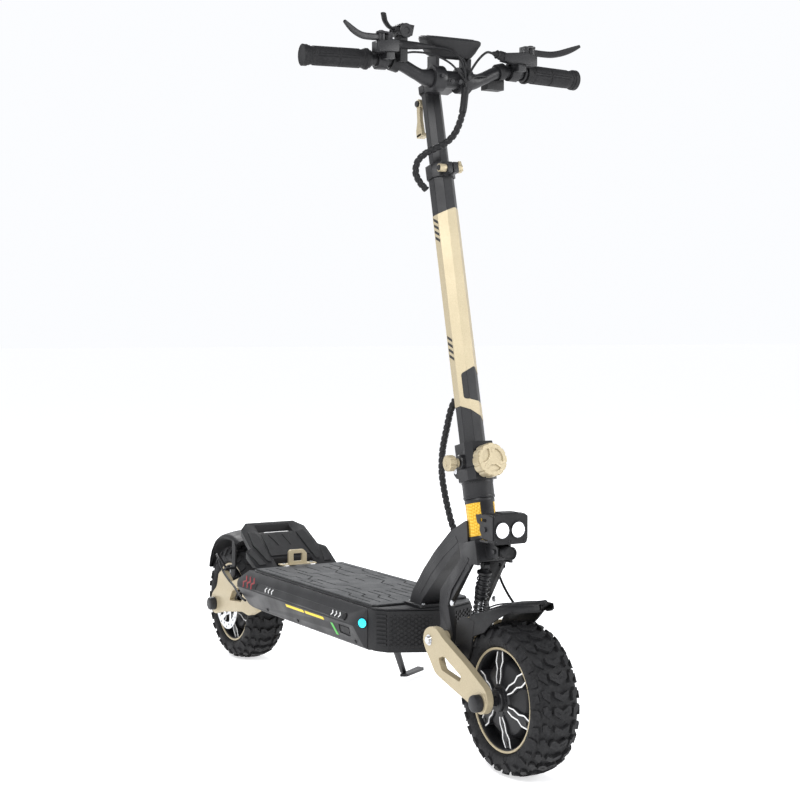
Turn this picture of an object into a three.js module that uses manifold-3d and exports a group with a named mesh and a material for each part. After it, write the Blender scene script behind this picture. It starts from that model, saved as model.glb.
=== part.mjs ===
// Electric kick scooter: millimetres, +Z up, forward is -Y, the rider's right is -X.
// The origin is on the ground, midway between the two axles.
import * as THREE from "three";
import { mergeVertices } from "three/addons/utils/BufferGeometryUtils.js";
import Module from "manifold-3d";

const wasm = await Module();
wasm.setup();

// ---------------------------------------------------------------- driving dimensions
const WHEELBASE = 1100;
const TYRE_RADIUS = 127.5;
const AXLE_Z = 127.5;
const FRONT_AXLE_Y = -WHEELBASE / 2;
const REAR_AXLE_Y = WHEELBASE / 2;
const RAKE = THREE.MathUtils.degToRad(12.965);
const STEER_FOOT_Y = -529.8; // where the steering axis meets the ground
const GAP = 0.3; // between pieces that rest on each other

const FRONT_PIVOT = [-388, 204]; // swing arm pivots, as [y, z]
const REAR_PIVOT = [340, 178];
const ARM_INNER_X = 64;
const ARM_OUTER_X = 77;
const AXLE_RADIUS = 8;
const AXLE_CAP_RADIUS = 14.5;
const AXLE_END_X = 92;

const DECK_TOP_Z = 235;
const LID_TOP_Z = 238.5;
const MAT_TOP_Z = 242.5;
const DECK_BOTTOM_Z = 158;
const DECK_FRONT_Y = -215;
const DECK_REAR_Y = 342;
const MAT_HALF_WIDTH = 101;

const HINGE_S = 512; // stem fold hinge, along and behind the steering axis
const HINGE_V = 26;
const SEAM_S = HINGE_S;
const STEM_TOP_S = 1052;
const INNER_TUBE_APOTHEM = 16.5;
const STEM_TUBE_APOTHEM = 21.5;
const BAR_Y = -325; // handlebar centre
const BAR_Z = 1174.5;
const BAR_RADIUS = 11.1;
const GRIP_RADIUS = 16;
const GRIP_INNER = [161, -319, 1198.5];
const GRIP_OUTER = [279, -310.4, 1196.9];

// ---------------------------------------------------------------- materials
const finish = (color, roughness, metalness) =>
  new THREE.MeshStandardMaterial({ color, roughness, metalness });
const GOLD = finish("#cbbb92", 0.42, 0.5);
const BLACK_METAL = finish("#26272a", 0.45, 0.5);
const BLACK_PLASTIC = finish("#1c1d1f", 0.6, 0.0);
const RUBBER = finish("#18181a", 0.85, 0.0);
const MAT_RUBBER = finish("#55585c", 0.8, 0.0);
const STEEL = finish("#b9bcc0", 0.35, 1.0);
const CELL_BLUE = finish("#2b4f86", 0.5, 0.0);

// ---------------------------------------------------------------- shape helpers
function solid(geometry) {
  geometry.deleteAttribute("normal");
  geometry.deleteAttribute("uv");
  const merged = mergeVertices(geometry, 1e-4);
  return new wasm.Manifold(
    new wasm.Mesh({
      numProp: 3,
      vertProperties: new Float32Array(merged.attributes.position.array),
      triVerts: new Uint32Array(merged.index.array),
    }),
  );
}

function toGeometry(manifold) {
  const mesh = manifold.getMesh();
  const geometry = new THREE.BufferGeometry();
  geometry.setAttribute("position", new THREE.BufferAttribute(new Float32Array(mesh.vertProperties), 3));
  geometry.setIndex(new THREE.BufferAttribute(new Uint32Array(mesh.triVerts), 1));
  geometry.computeVertexNormals();
  return geometry;
}

const join = (...solids) => solids.reduce((whole, piece) => whole.add(piece));
const cut = (first, ...tools) => tools.reduce((rest, tool) => rest.subtract(tool), first);

function box(x, y, z) {
  const geometry = new THREE.BoxGeometry(x[1] - x[0], y[1] - y[0], z[1] - z[0]);
  geometry.translate((x[0] + x[1]) / 2, (y[0] + y[1]) / 2, (z[0] + z[1]) / 2);
  return solid(geometry);
}

function extruded(points, depth, bevel) {
  const shape = new THREE.Shape(points.map(([a, b]) => new THREE.Vector2(a, b)));
  const options = { depth, bevelEnabled: false, curveSegments: 12 };
  if (bevel > 0) {
    const edge = { bevelEnabled: true, bevelSize: bevel, bevelThickness: bevel, bevelSegments: 1 };
    Object.assign(options, edge, { depth: depth - 2 * bevel, bevelOffset: -bevel });
  }
  const geometry = new THREE.ExtrudeGeometry(shape, options);
  geometry.translate(0, 0, bevel);
  return geometry;
}

// An outline in the Y-Z plane, thick along X.
function sidePlate(points, x, bevel = 0) {
  const geometry = extruded(points, x[1] - x[0], bevel);
  const basis = new THREE.Matrix4().makeBasis(
    new THREE.Vector3(0, 1, 0),
    new THREE.Vector3(0, 0, 1),
    new THREE.Vector3(1, 0, 0),
  );
  geometry.applyMatrix4(basis);
  geometry.translate(x[0], 0, 0);
  return solid(geometry);
}

// An outline in the X-Z plane, long along Y.
function crossSection(points, y, bevel = 0) {
  const geometry = extruded(points, y[1] - y[0], bevel);
  geometry.rotateX(Math.PI / 2);
  geometry.translate(0, y[1], 0);
  return solid(geometry);
}

// An outline in the X-Y plane, tall along Z.
function planPlate(points, z, bevel = 0) {
  const geometry = extruded(points, z[1] - z[0], bevel);
  geometry.translate(0, 0, z[0]);
  return solid(geometry);
}

// Turns a geometry made along Y so that it runs from a point in a direction.
function aim(geometry, from, to) {
  const direction = new THREE.Vector3(...to).sub(new THREE.Vector3(...from)).normalize();
  const turn = new THREE.Quaternion().setFromUnitVectors(new THREE.Vector3(0, 1, 0), direction);
  geometry.applyQuaternion(turn);
  geometry.translate(...from);
  return geometry;
}

function rod(from, to, radius, sides = 12) {
  const length = new THREE.Vector3(...from).distanceTo(new THREE.Vector3(...to));
  const geometry = new THREE.CylinderGeometry(radius, radius, length, sides);
  geometry.translate(0, length / 2, 0);
  return solid(aim(geometry, from, to));
}

// A turned piece: [radius, distance] pairs measured along the line from one point to another.
function turned(profile, from, to, sides = 24) {
  const points = profile.map(([radius, along]) => new THREE.Vector2(radius, along));
  if (profile[0][0] > 0) {
    points.push(points[0].clone());
  }
  if (THREE.ShapeUtils.area(points) < 0) {
    points.reverse();
  }
  return solid(aim(new THREE.LatheGeometry(points, sides), from, to));
}

function ring(from, to, inner, outer, sides = 20) {
  return cut(rod(from, to, outer, sides), longRod(from, to, inner, sides));
}

// A rod that runs 1 mm past both ends, for boring.
function longRod(from, to, radius, sides = 12) {
  const a = new THREE.Vector3(...from);
  const b = new THREE.Vector3(...to);
  const step = b.clone().sub(a).normalize();
  return rod(a.clone().sub(step).toArray(), b.clone().add(step).toArray(), radius, sides);
}

// A round cord along hand-placed points.
function cord(points, radius, sides, steps) {
  const curve = new THREE.CatmullRomCurve3(points.map((point) => new THREE.Vector3(...point)));
  const section = new THREE.Shape();
  for (let i = 0; i < sides; i += 1) {
    const angle = (i / sides) * 2 * Math.PI;
    const point = [radius * Math.cos(angle), radius * Math.sin(angle)];
    i === 0 ? section.moveTo(...point) : section.lineTo(...point);
  }
  return solid(new THREE.ExtrudeGeometry(section, { steps, extrudePath: curve }));
}

// An octagonal prism standing along Z, a flat facing each way.
function octagon(apothem, z, centre = [0, 0]) {
  const radius = apothem / Math.cos(Math.PI / 8);
  const points = [];
  for (let i = 0; i < 8; i += 1) {
    const angle = ((i + 0.5) * Math.PI) / 4;
    points.push([centre[0] + radius * Math.cos(angle), centre[1] + radius * Math.sin(angle)]);
  }
  return planPlate(points, z);
}

const mirrored = (points) => points.map(([a, b]) => [-a, b]).reverse();
const symmetric = (half) => [...half, ...mirrored(half)];

const scooter = new THREE.Group();

// Everything along the steering axis is built upright in this group: Z is the distance up
// the axis, and Y the distance behind it.
const steering = new THREE.Group();
steering.position.set(0, STEER_FOOT_Y, 0);
steering.rotation.x = -RAKE;
scooter.add(steering);

function add(name, manifold, material, group = scooter) {
  const mesh = new THREE.Mesh(toGeometry(manifold), material);
  mesh.name = name;
  group.add(mesh);
}

// ---------------------------------------------------------------- wheels
const TYRE_OUTSIDE = [[86.5, 31], [92, 40.5], [106, 42.5], [119, 37], [TYRE_RADIUS, 22]];
const TYRE_INSIDE = [[92, 27], [114, 24]];
const RIM_HALF = [[8.6, 46], [18, 46], [20, 36], [60, 26], [66, 9], [80, 9], [80, 34], [85.4, 34]];

function wheel(prefix, axleY, rotorSide) {
  const centre = [0, axleY, AXLE_Z];
  const along = [1, axleY, AXLE_Z];
  const outside = TYRE_OUTSIDE.map(([r, x]) => [r, -x]);
  const back = [...TYRE_OUTSIDE].reverse();
  const inside = [...TYRE_INSIDE, ...[...TYRE_INSIDE].reverse().map(([r, x]) => [r, -x])];
  add(`${prefix}_tyre`, turned([...outside, ...back, ...inside], centre, along, 32), RUBBER);

  const rimBack = [...RIM_HALF].reverse().map(([r, x]) => [r, -x]);
  add(`${prefix}_hub_motor`, turned([...RIM_HALF, ...rimBack], centre, along, 28), BLACK_METAL);

  const from = [rotorSide * 47.3, axleY, AXLE_Z];
  const to = [rotorSide * 49.3, axleY, AXLE_Z];
  let rotor = ring(from, to, 19, 60, 24);
  for (let i = 0; i < 5; i += 1) {
    const angle = (i / 5) * 2 * Math.PI + 0.3;
    const y = axleY + 39 * Math.cos(angle);
    const z = AXLE_Z + 39 * Math.sin(angle);
    rotor = cut(rotor, longRod([from[0], y, z], [to[0], y, z], 10.5, 6));
  }
  add(`${prefix}_brake_rotor`, rotor, STEEL);

  const capStart = ARM_OUTER_X + 0.5;
  const cap = [[AXLE_CAP_RADIUS, capStart], [AXLE_CAP_RADIUS, AXLE_END_X], [0, AXLE_END_X]];
  const half = [[AXLE_RADIUS, capStart], ...cap];
  const otherHalf = [...half].reverse().map(([r, x]) => [r, -x]);
  add(`${prefix}_axle`, turned([...otherHalf, ...half], centre, along, 16), BLACK_METAL);
}

// ---------------------------------------------------------------- swing arms
const FRONT_ARM_OUTLINE = [
  [-372, 190], [-366, 203], [-372, 219], [-388, 228], [-412, 228], [-431, 215],
  [-505, 183], [-566, 152], [-574, 134], [-568, 116], [-552, 107], [-529, 117], [-446, 139], [-408, 150],
];
const FRONT_ARM_WINDOW = [[-418, 178], [-436, 184], [-492, 160], [-488, 150], [-428, 160]];
const REAR_ARM_OUTLINE = [
  [322, 145], [318, 178], [330, 198], [350, 206], [392, 211], [470, 184], [503, 207], [528, 200],
  [538, 168], [566, 148], [574, 126], [566, 108], [548, 104], [520, 113], [402, 131], [368, 127],
];
const REAR_ARM_WINDOW = [[396, 190], [455, 168], [470, 146], [404, 152]];

function swingArm(prefix, outline, window, pivot, axleY, lug) {
  const [pivotY, pivotZ] = pivot;
  const reach = ARM_OUTER_X + 1;
  let arm = null;
  for (const x of [[-ARM_OUTER_X, -ARM_INNER_X], [ARM_INNER_X, ARM_OUTER_X]]) {
    const plate = cut(sidePlate(outline, x, 3), sidePlate(window, [x[0] - 1, x[1] + 1]));
    arm = arm === null ? plate : join(arm, plate);
  }
  const bridge = rod([-ARM_INNER_X - 5, pivotY, pivotZ], [ARM_INNER_X + 5, pivotY, pivotZ], 13, 20);
  const ears = [-12, 7].map((x) => sidePlate(lug, [x, x + 5]));
  arm = join(arm, bridge, ...ears);
  const pivotBore = longRod([-reach, pivotY, pivotZ], [reach, pivotY, pivotZ], 6.4);
  const axleBore = longRod([-reach, axleY, AXLE_Z], [reach, axleY, AXLE_Z], AXLE_RADIUS + 0.4);
  return cut(arm, pivotBore, axleBore);
}

// ---------------------------------------------------------------- shocks
// Cylinder above, rod below, coil spring around both.
function shock(prefix, top, bottom, springColor) {
  const up = new THREE.Vector3(0, top[0] - bottom[0], top[1] - bottom[1]);
  const length = up.length();
  up.normalize();
  const at = (along) => [0, bottom[0] + up.y * along, bottom[1] + up.z * along];
  const eye = (along, radius) => {
    const [, y, z] = at(along);
    return cut(rod([-6, y, z], [6, y, z], radius, 16), longRod([-6, y, z], [6, y, z], 3.4, 12));
  };
  const cylinderBody = rod(at(length * 0.42), at(length - 6), 8.8, 12);
  const springSeat = rod(at(length - 14), at(length - 10), 13, 16);
  const bore = rod(at(length * 0.42 - 1), at(length * 0.42 + 26), 5.6, 12);
  const eyeBore = longRod([-6, top[0], top[1]], [6, top[0], top[1]], 3.4, 12);
  const cylinder = cut(join(eye(length, 7), cylinderBody, springSeat), bore, eyeBore);
  add(`${prefix}_shock_cylinder`, cylinder, BLACK_METAL);

  const rodBody = rod(at(6), at(length * 0.42 + 10), 5, 12);
  const lowerSeat = rod(at(14), at(17), 13, 16);
  const lowerBore = longRod([-6, bottom[0], bottom[1]], [6, bottom[0], bottom[1]], 3.4, 12);
  add(`${prefix}_shock_rod`, cut(join(eye(0, 7), rodBody, lowerSeat), lowerBore), STEEL);
  add(`${prefix}_spring`, ring(at(17.4), at(length - 14.4), 9.8, 12.6, 16), springColor);
}

// ---------------------------------------------------------------- fenders
// A band bent along a side profile; its underside and edges follow it.
function fender(profile, halfWidth, thickness, drop) {
  const outer = profile;
  const inner = offsetProfile(profile, thickness);
  const crown = sidePlate([...outer, ...[...inner].reverse()], [-halfWidth, halfWidth]);
  const skirtInner = offsetProfile(profile, drop);
  const skirtOutline = [...outer, ...[...skirtInner].reverse()];
  const left = sidePlate(skirtOutline, [halfWidth - thickness, halfWidth]);
  const right = sidePlate(skirtOutline, [-halfWidth, -halfWidth + thickness]);
  return join(crown, left, right);
}

function offsetProfile(profile, distance) {
  return profile.map((point, i) => {
    const before = profile[Math.max(i - 1, 0)];
    const after = profile[Math.min(i + 1, profile.length - 1)];
    const along = new THREE.Vector2(after[0] - before[0], after[1] - before[1]).normalize();
    return [point[0] - along.y * distance, point[1] + along.x * distance];
  });
}

function arcProfile(centreY, centreZ, radius, fromDegrees, toDegrees, steps) {
  const points = [];
  for (let i = 0; i <= steps; i += 1) {
    const angle = THREE.MathUtils.degToRad(fromDegrees + ((toDegrees - fromDegrees) * i) / steps);
    points.push([centreY + radius * Math.cos(angle), centreZ + radius * Math.sin(angle)]);
  }
  return points;
}

// ---------------------------------------------------------------- front running gear
const FRONT_SHOCK_TOP = [-446, 334];
const FRONT_SHOCK_BOTTOM = [-424, 232];
const FRONT_LUG = [
  [-396, 196], [-378, 212], [-410, 242], [-424, 243], [-435, 234], [-434, 224], [-410, 200],
];

function frontRunningGear() {
  wheel("front", FRONT_AXLE_Y, 1);
  const arm = swingArm("front", FRONT_ARM_OUTLINE, FRONT_ARM_WINDOW, FRONT_PIVOT, FRONT_AXLE_Y, FRONT_LUG);
  const lugBore = longRod([-13, ...FRONT_SHOCK_BOTTOM], [13, ...FRONT_SHOCK_BOTTOM], 3.4, 12);
  add("front_swing_arm", cut(arm, lugBore), GOLD);
  shock("front", FRONT_SHOCK_TOP, FRONT_SHOCK_BOTTOM, STEEL);

  const guard = [
    [-446, 250], [-466, 259], [-492, 269], [-528, 281], [-566, 289], [-600, 295], [-626, 299],
  ];
  const beak = symmetric([[52, -420], [52, -498], [35, -526], [20, -568], [1, -624]]);
  const stay = [[-462, 262], [-446, 254], [-428, 214], [-428, 186], [-440, 186], [-446, 214]];
  let cover = fender(guard, 47, 3, 34).intersect(planPlate(beak, [180, 320]));
  for (const x of [[-50, -44.2], [44.2, 50]]) {
    cover = join(cover, sidePlate(stay, x));
  }
  for (const side of [-1, 1]) {
    const inner = Math.min(side * 44, side * (ARM_INNER_X - GAP));
    const outer = Math.max(side * 44, side * (ARM_INNER_X - GAP));
    cover = join(cover, box([inner, outer], [-440, -428], [186, 200]));
  }
  add("front_fender", cover, BLACK_PLASTIC);

  add("front_caliper", caliper(FRONT_AXLE_Y, 48.3, 35, 1), BLACK_METAL);
}

// A caliper straddles the rotor's edge at an angle above the axle, and bolts to its arm.
function caliper(axleY, rotorX, degrees, side) {
  const angle = THREE.MathUtils.degToRad(degrees);
  const centre = 58;
  const y = axleY + centre * Math.cos(angle);
  const z = AXLE_Z + centre * Math.sin(angle);
  const span = (a, b) => (side > 0 ? [a, b] : [-b, -a]);
  const body = box(span(38.5, ARM_INNER_X - GAP), [y - 15, y + 15], [z - 13, z + 13]);
  const slotFrom = [side * (rotorX - 2.6), axleY, AXLE_Z];
  const slotTo = [side * (rotorX + 2.6), axleY, AXLE_Z];
  const slot = ring(slotFrom, slotTo, 1, 61.5, 30);
  return cut(body, slot);
}

// ---------------------------------------------------------------- rear running gear
const REAR_SHOCK_TOP = [368, 262];
const REAR_SHOCK_BOTTOM = [398, 196];

function rearRunningGear() {
  wheel("rear", REAR_AXLE_Y, -1);
  const lug = [[330, 190], [350, 172], [398, 186], [408, 196], [398, 206], [380, 202]];
  const arm = swingArm("rear", REAR_ARM_OUTLINE, REAR_ARM_WINDOW, REAR_PIVOT, REAR_AXLE_Y, lug);
  const lugBore = longRod([-13, ...REAR_SHOCK_BOTTOM], [13, ...REAR_SHOCK_BOTTOM], 3.4, 12);
  add("rear_swing_arm", cut(arm, lugBore), GOLD);
  shock("rear", REAR_SHOCK_TOP, REAR_SHOCK_BOTTOM, STEEL);

  const guard = arcProfile(REAR_AXLE_Y, AXLE_Z + 8, 146, 8, 112, 9);
  const stay = [[502, 190], [530, 190], [528, 262], [500, 262]];
  let cover = fender(guard, 46, 3, 16);
  for (const side of [-1, 1]) {
    const inner = side * 46;
    const outer = side * (ARM_INNER_X + 6);
    const x = [Math.min(inner, outer), Math.max(inner, outer)];
    const plateX = side > 0 ? [45, 51] : [-51, -45];
    cover = join(cover, sidePlate(stay, plateX), box([x[0], x[1]], [503, 513], [207.5, 212]));
  }
  add("rear_fender", cover, BLACK_PLASTIC);
  add("rear_caliper", caliper(REAR_AXLE_Y, 48.3, 125, -1), BLACK_METAL);
}

// ---------------------------------------------------------------- deck
const DECK_SECTION = [[MAT_HALF_WIDTH + 2, DECK_TOP_Z], [120, 200], [108, 163], [100, DECK_BOTTOM_Z]];
const DECK_CAVITY = [[95, DECK_TOP_Z + 5], [95, DECK_TOP_Z - 4], [110, 201], [101, 170], [96, 166]];

function deck() {
  const section = crossSection(symmetric(DECK_SECTION), [DECK_FRONT_Y, DECK_REAR_Y]);
  const sideOutline = [
    [DECK_FRONT_Y, DECK_BOTTOM_Z], [252, DECK_BOTTOM_Z], [293, 166], [337, 207], [339, 214],
    [306, DECK_TOP_Z], [DECK_FRONT_Y, DECK_TOP_Z],
  ];
  const outside = section.intersect(sidePlate(sideOutline, [-125, 125]));
  const betweenTails = box([-84, 84], [300, 345], [150, 240]);
  const tailOutline = [[215, 158], [318, 150], [350, 158], [356, 190], [352, DECK_TOP_Z], [250, DECK_TOP_Z]];
  const tail = sidePlate(tailOutline, [-50, 50]);
  const tower = sidePlate([[340, 225], [352, 225], [378, 252], [378, 272], [356, 272]], [-22, 22]);
  const cavity = crossSection(symmetric(DECK_CAVITY), [DECK_FRONT_Y + 8, DECK_REAR_Y]);
  const cavityEnd = sidePlate([[-300, 150], [222, 150], [270, 242], [-300, 242]], [-125, 125]);
  const standInnerX = STAND_PIVOT[0] - STAND_BALL_RADIUS - 0.5;
  const standMount = box([standInnerX - 9, standInnerX], [56, 84], [139, DECK_BOTTOM_Z + 1]);
  let tub = join(cut(outside, betweenTails), tail, tower, standMount);
  tub = cut(tub, cavity.intersect(cavityEnd));
  for (const side of [-1, 1]) {
    const corner = [[side * 126, -236], [side * 104, -216], [side * 126, -178]];
    tub = cut(tub, planPlate(corner, [150, 240]));
  }
  const armSlot = rod([-66, ...REAR_PIVOT], [66, ...REAR_PIVOT], 14.5, 20);
  const slotOutline = [[318, 165], [318, 240], [350, 240], [350, 280], [395, 280], [395, 165]];
  const shockSlot = sidePlate(slotOutline, [-13.5, 13.5]);
  const topBore = longRod([-23, ...REAR_SHOCK_TOP], [23, ...REAR_SHOCK_TOP], 3.4, 12);
  tub = cut(tub, armSlot, box([-51, 51], [340, 360], [150, 195]), shockSlot, topBore);
  add("deck_tub", tub, BLACK_METAL);

  const noseHalf = [[104, DECK_FRONT_Y - GAP], [100, -240], [88, -262], [12, -300]];
  const lidHalf = [[MAT_HALF_WIDTH, 285], [MAT_HALF_WIDTH, -234], [87, -259], [11, -297]];
  const lid = planPlate(symmetric(lidHalf), [DECK_TOP_Z + GAP, LID_TOP_Z]);
  add("deck_lid", lid, BLACK_METAL);
  const matHalf = [[MAT_HALF_WIDTH, 276], [MAT_HALF_WIDTH, -225], [90, -234], [36, -234], [36, -224]];
  add("deck_mat", planPlate(symmetric(matHalf), [LID_TOP_Z + GAP, MAT_TOP_Z]), MAT_RUBBER);
  const noseShape = symmetric(noseHalf);
  const noseTop = planPlate(noseShape, [160, DECK_TOP_Z]);
  const innerHalf = [[98, DECK_FRONT_Y + 5], [96, -236], [84, -256], [12, -292]];
  const noseHollow = planPlate(symmetric(innerHalf), [165, DECK_TOP_Z - 5]);
  add("deck_nose", cut(noseTop, noseHollow), BLACK_PLASTIC);

  add("battery_pack", box([-92, 92], [-190, 140], [168, 228]), CELL_BLUE);
  add("motor_controller", box([-45, 45], [148, 212], [170, 222]), STEEL);
}

function footrest() {
  const side = [[286, 239.8], [426, 318], [434, 317], [433, 305], [392, 284], [332, 250], [306, 239.8]];
  const plan = symmetric([[92, 280], [104, 322], [98, 340], [80, 350], [76, 408], [48, 436]]);
  const block = sidePlate(side, [-110, 110]).intersect(planPlate(plan, [230, 325]));
  const handle = box([-40, 40], [394, 416], [270, 330]);
  const loopRecess = box([-44, 44], [270, 312], [230, 262]);
  const towerSpace = box([-24, 24], [336, 388], [230, 275]);
  add("footrest", cut(block, handle, loopRecess, towerSpace), BLACK_PLASTIC);

  const plate = box([-40, 42], [278.5, 299.5], [242.8, 245.3]);
  const loop = box([-22, 22], [284, 291], [245, 275]);
  const eye = box([-10, 10], [280, 295], [250, 268]);
  add("latch_loop", cut(join(plate, loop), eye), GOLD);
}

function neck() {
  const beam = [
    [-436, 374], [-432, 413], [-380, 389], [-326, 347], [-286, 309], [-248, 266], [-236, 239],
    [-272, 239], [-286, 257], [-329, 296], [-376, 337], [-417, 372],
  ];
  const post = sidePlate(beam, [-29, 29], 3);
  const foot = box([-34, 34], [-285, -226], [238.8, 244.5]);
  const floor = box([-60, 60], [-300, -200], [200, 238.8]);
  const bore = longRod(onAxis(380), onAxis(465), 19.3, 24);
  const tube = rod(onAxis(387.2), onAxis(458.4), 25, 28);
  const ends = [rod(onAxis(340), onAxis(387.1), 60, 12), rod(onAxis(458.5), onAxis(500), 60, 12)];
  add("neck", cut(join(post, foot, tube), bore, floor, ...ends), BLACK_METAL);
  add("headset_bearing", ring(onAxis(448), onAxis(458), 15.4, 19, 24), STEEL);
}

function onAxis(along, behind = 0, x = 0) {
  return [
    x,
    STEER_FOOT_Y + along * Math.sin(RAKE) + behind * Math.cos(RAKE),
    along * Math.cos(RAKE) - behind * Math.sin(RAKE),
  ];
}

// The stand hangs on a ball under the deck's left edge and swings back against the deck.
const STAND_PIVOT = [96, 70, 149];
const STAND_BALL_RADIUS = 8.5;

function kickstand() {
  const foot = [188, 166, 17];
  const ball = new THREE.SphereGeometry(STAND_BALL_RADIUS, 16, 10);
  ball.translate(...STAND_PIVOT);
  const leg = rod(STAND_PIVOT, foot, 6.5, 10);
  const pad = planPlate([[172, 154], [186, 146], [252, 186], [246, 204]], [10, 16]);
  const ground = box([100, 300], [100, 300], [-20, 10]);
  add("kickstand", cut(join(leg, pad, solid(ball)), ground), BLACK_METAL);
}

// ---------------------------------------------------------------- steerer
function steerer() {
  const crown = join(
    box([-42, 42], [-26, 26], [350, 386.8]),
    box([-16, 16], [-46, -20], [354, 378]),
  );
  add("fork", fork(crown), BLACK_METAL);

  const post = rod([0, 0, 358], [0, 0, 465], 15, 20);
  const cap = rod([0, 0, 458.8], [0, 0, 491], 27, 28);
  const lowerHousing = planPlate(HOUSING, [490, SEAM_S - GAP]);
  const earWeb = [[14, 498], [27, 498], [34.5, 506], [34.5, HINGE_S], [18, HINGE_S]];
  let base = join(post, cap, lowerHousing);
  for (const x of [[-24, -12.6], [12.6, 24]]) {
    const ear = rod([x[0], HINGE_V, HINGE_S], [x[1], HINGE_V, HINGE_S], 8.5, 16);
    base = join(base, sidePlate(earWeb, x), ear);
  }
  const knuckleSpace = rod([-12.6, HINGE_V, HINGE_S], [12.6, HINGE_V, HINGE_S], 9.4, 16);
  const knuckleBack = box([-12.6, 12.6], [HINGE_V, 50], [495, 530]);
  const pinBore = longRod([-25, HINGE_V, HINGE_S], [25, HINGE_V, HINGE_S], 3.3, 12);
  add("fold_base", cut(base, knuckleSpace, knuckleBack, pinBore), BLACK_METAL, steering);

  headlight();
  horn();
}

const HOUSING = symmetric([[8, 25.8], [20, 25.8], [28, 15], [29, -18], [20, -30]]);

// Turns a solid made in the steering group's frame into the scooter's frame.
function upright(manifold) {
  steering.updateMatrix();
  return manifold.transform(steering.matrix.elements);
}

function fork(crown) {
  const leg = [
    [-478, 341], [-470, 378], [-452, 376], [-422, 345], [-377, 298], [-366, 284], [-364, 259],
    [-368, 200], [-376, 188], [-392, 184], [-406, 196], [-408, 215], [-393, 260], [-459, 341],
  ];
  let legs = upright(crown);
  for (const x of [[-42, -30], [30, 42]]) {
    legs = join(legs, sidePlate(leg, x));
  }
  const bridgeSpace = rod([-70, ...FRONT_PIVOT], [70, ...FRONT_PIVOT], 13.6, 20);
  const steererBore = longRod(onAxis(349), onAxis(388), 15.4, 24);
  const shockBore = longRod([-45, ...FRONT_SHOCK_TOP], [45, ...FRONT_SHOCK_TOP], 3.4, 12);
  const shockSpace = sidePlate([[-462, 326], [-462, 348], [-430, 348], [-430, 326]], [-8, 8]);
  return cut(legs, bridgeSpace, steererBore, shockBore, shockSpace);
}

const LAMP_FACE_Y = -525;

function headlight() {
  const shell = box([-33, 33], [LAMP_FACE_Y, LAMP_FACE_Y + 21], [380, 431]);
  const sides = [
    [LAMP_FACE_Y, 386], [LAMP_FACE_Y, 430], [-504, 431], [-470, 428], [-474, 414], [-484, 410],
    [-482, 402], [-492, 388],
  ];
  const tray = box([-33, 33], [-504.5, -482], [381.5, 385.5]);
  let body = join(shell, tray, sidePlate(sides, [-33, -30]), sidePlate(sides, [30, 33]));
  for (const x of [-16.6, 14.6]) {
    const lensBore = rod([x, LAMP_FACE_Y - 1, 404], [x, LAMP_FACE_Y + 17, 404], 14, 20);
    body = cut(body, lensBore);
  }
  body = cut(body, box([-24, 24], [LAMP_FACE_Y + 14.5, LAMP_FACE_Y + 18.5], [397, 411]));
  add("headlight", body, BLACK_PLASTIC);
}

function horn() {
  const profile = [[0, 0], [8, 0], [8, 4], [10, 6], [10, 28], [11.5, 30], [11.5, 37], [0, 37]];
  add("horn", turned(profile, [-5, -497, 366], [-5, -498, 366], 20), BLACK_PLASTIC);
}

// ---------------------------------------------------------------- stem
function stem() {
  const outside = octagon(STEM_TUBE_APOTHEM, [555.3, STEM_TOP_S]);
  const innerTubeSpace = octagon(INNER_TUBE_APOTHEM + 0.5, [640, 1100]);
  const cableSpace = rod([0, 0, 550], [0, 0, 700], 15, 16);
  const clampSlot = box([-1.5, 1.5], [-30, -10], [985, 1060]);
  add("stem_tube", cut(outside, innerTubeSpace, cableSpace, clampSlot), GOLD, steering);

  const upper = planPlate(HOUSING, [SEAM_S + GAP, 555]);
  const knuckle = rod([-12, HINGE_V, HINGE_S], [12, HINGE_V, HINGE_S], 8.5, 16);
  const seat = SEAM_S + GAP;
  const web = sidePlate([[20, seat], [34.5, seat], [34.5, 520], [25, 526], [20, 526]], [-12, 12]);
  const pinBore = longRod([-25, HINGE_V, HINGE_S], [25, HINGE_V, HINGE_S], 3.3, 12);
  const studBore = rod([0, -40, KNOB_S], [0, -14, KNOB_S], 5.3, 12);
  const lockBore = rod([-40, LOCK_V, LOCK_S], [-8, LOCK_V, LOCK_S], 4.4, 12);
  const earSpace = [[-24.4, -12.2], [12.2, 24.4]].map((x) =>
    rod([x[0], HINGE_V, HINGE_S], [x[1], HINGE_V, HINGE_S], 9.4, 16),
  );
  const housing = cut(join(upper, knuckle, web), pinBore, studBore, lockBore, ...earSpace);
  add("fold_housing", housing, BLACK_METAL, steering);
  add("fold_pin", rod([-23.5, HINGE_V, HINGE_S], [23.5, HINGE_V, HINGE_S], 3, 12), STEEL, steering);

  add("latch_knob", latchKnob(), GOLD, steering);
  add("lock_pin", lockPin(), GOLD, steering);
  heightClamp();
}

function lobed(radius, depth, lobes, from, to) {
  let knob = rod(from, to, radius, 24);
  const axis = new THREE.Vector3(...to).sub(new THREE.Vector3(...from)).normalize();
  const helper = Math.abs(axis.x) > 0.5 ? new THREE.Vector3(0, 1, 0) : new THREE.Vector3(1, 0, 0);
  const across = new THREE.Vector3().crossVectors(axis, helper);
  for (let i = 0; i < lobes; i += 1) {
    const angle = (i / lobes) * 2 * Math.PI;
    const shift = across.clone().multiplyScalar(Math.cos(angle)).addScaledVector(helper, Math.sin(angle));
    shift.multiplyScalar(radius + depth);
    const a = new THREE.Vector3(...from).add(shift).toArray();
    const b = new THREE.Vector3(...to).add(shift).toArray();
    knob = cut(knob, longRod(a, b, depth * 2.2, 6));
  }
  return knob;
}

const KNOB_S = 518.5;
const LOCK_S = 522;
const LOCK_V = -6;

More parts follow.
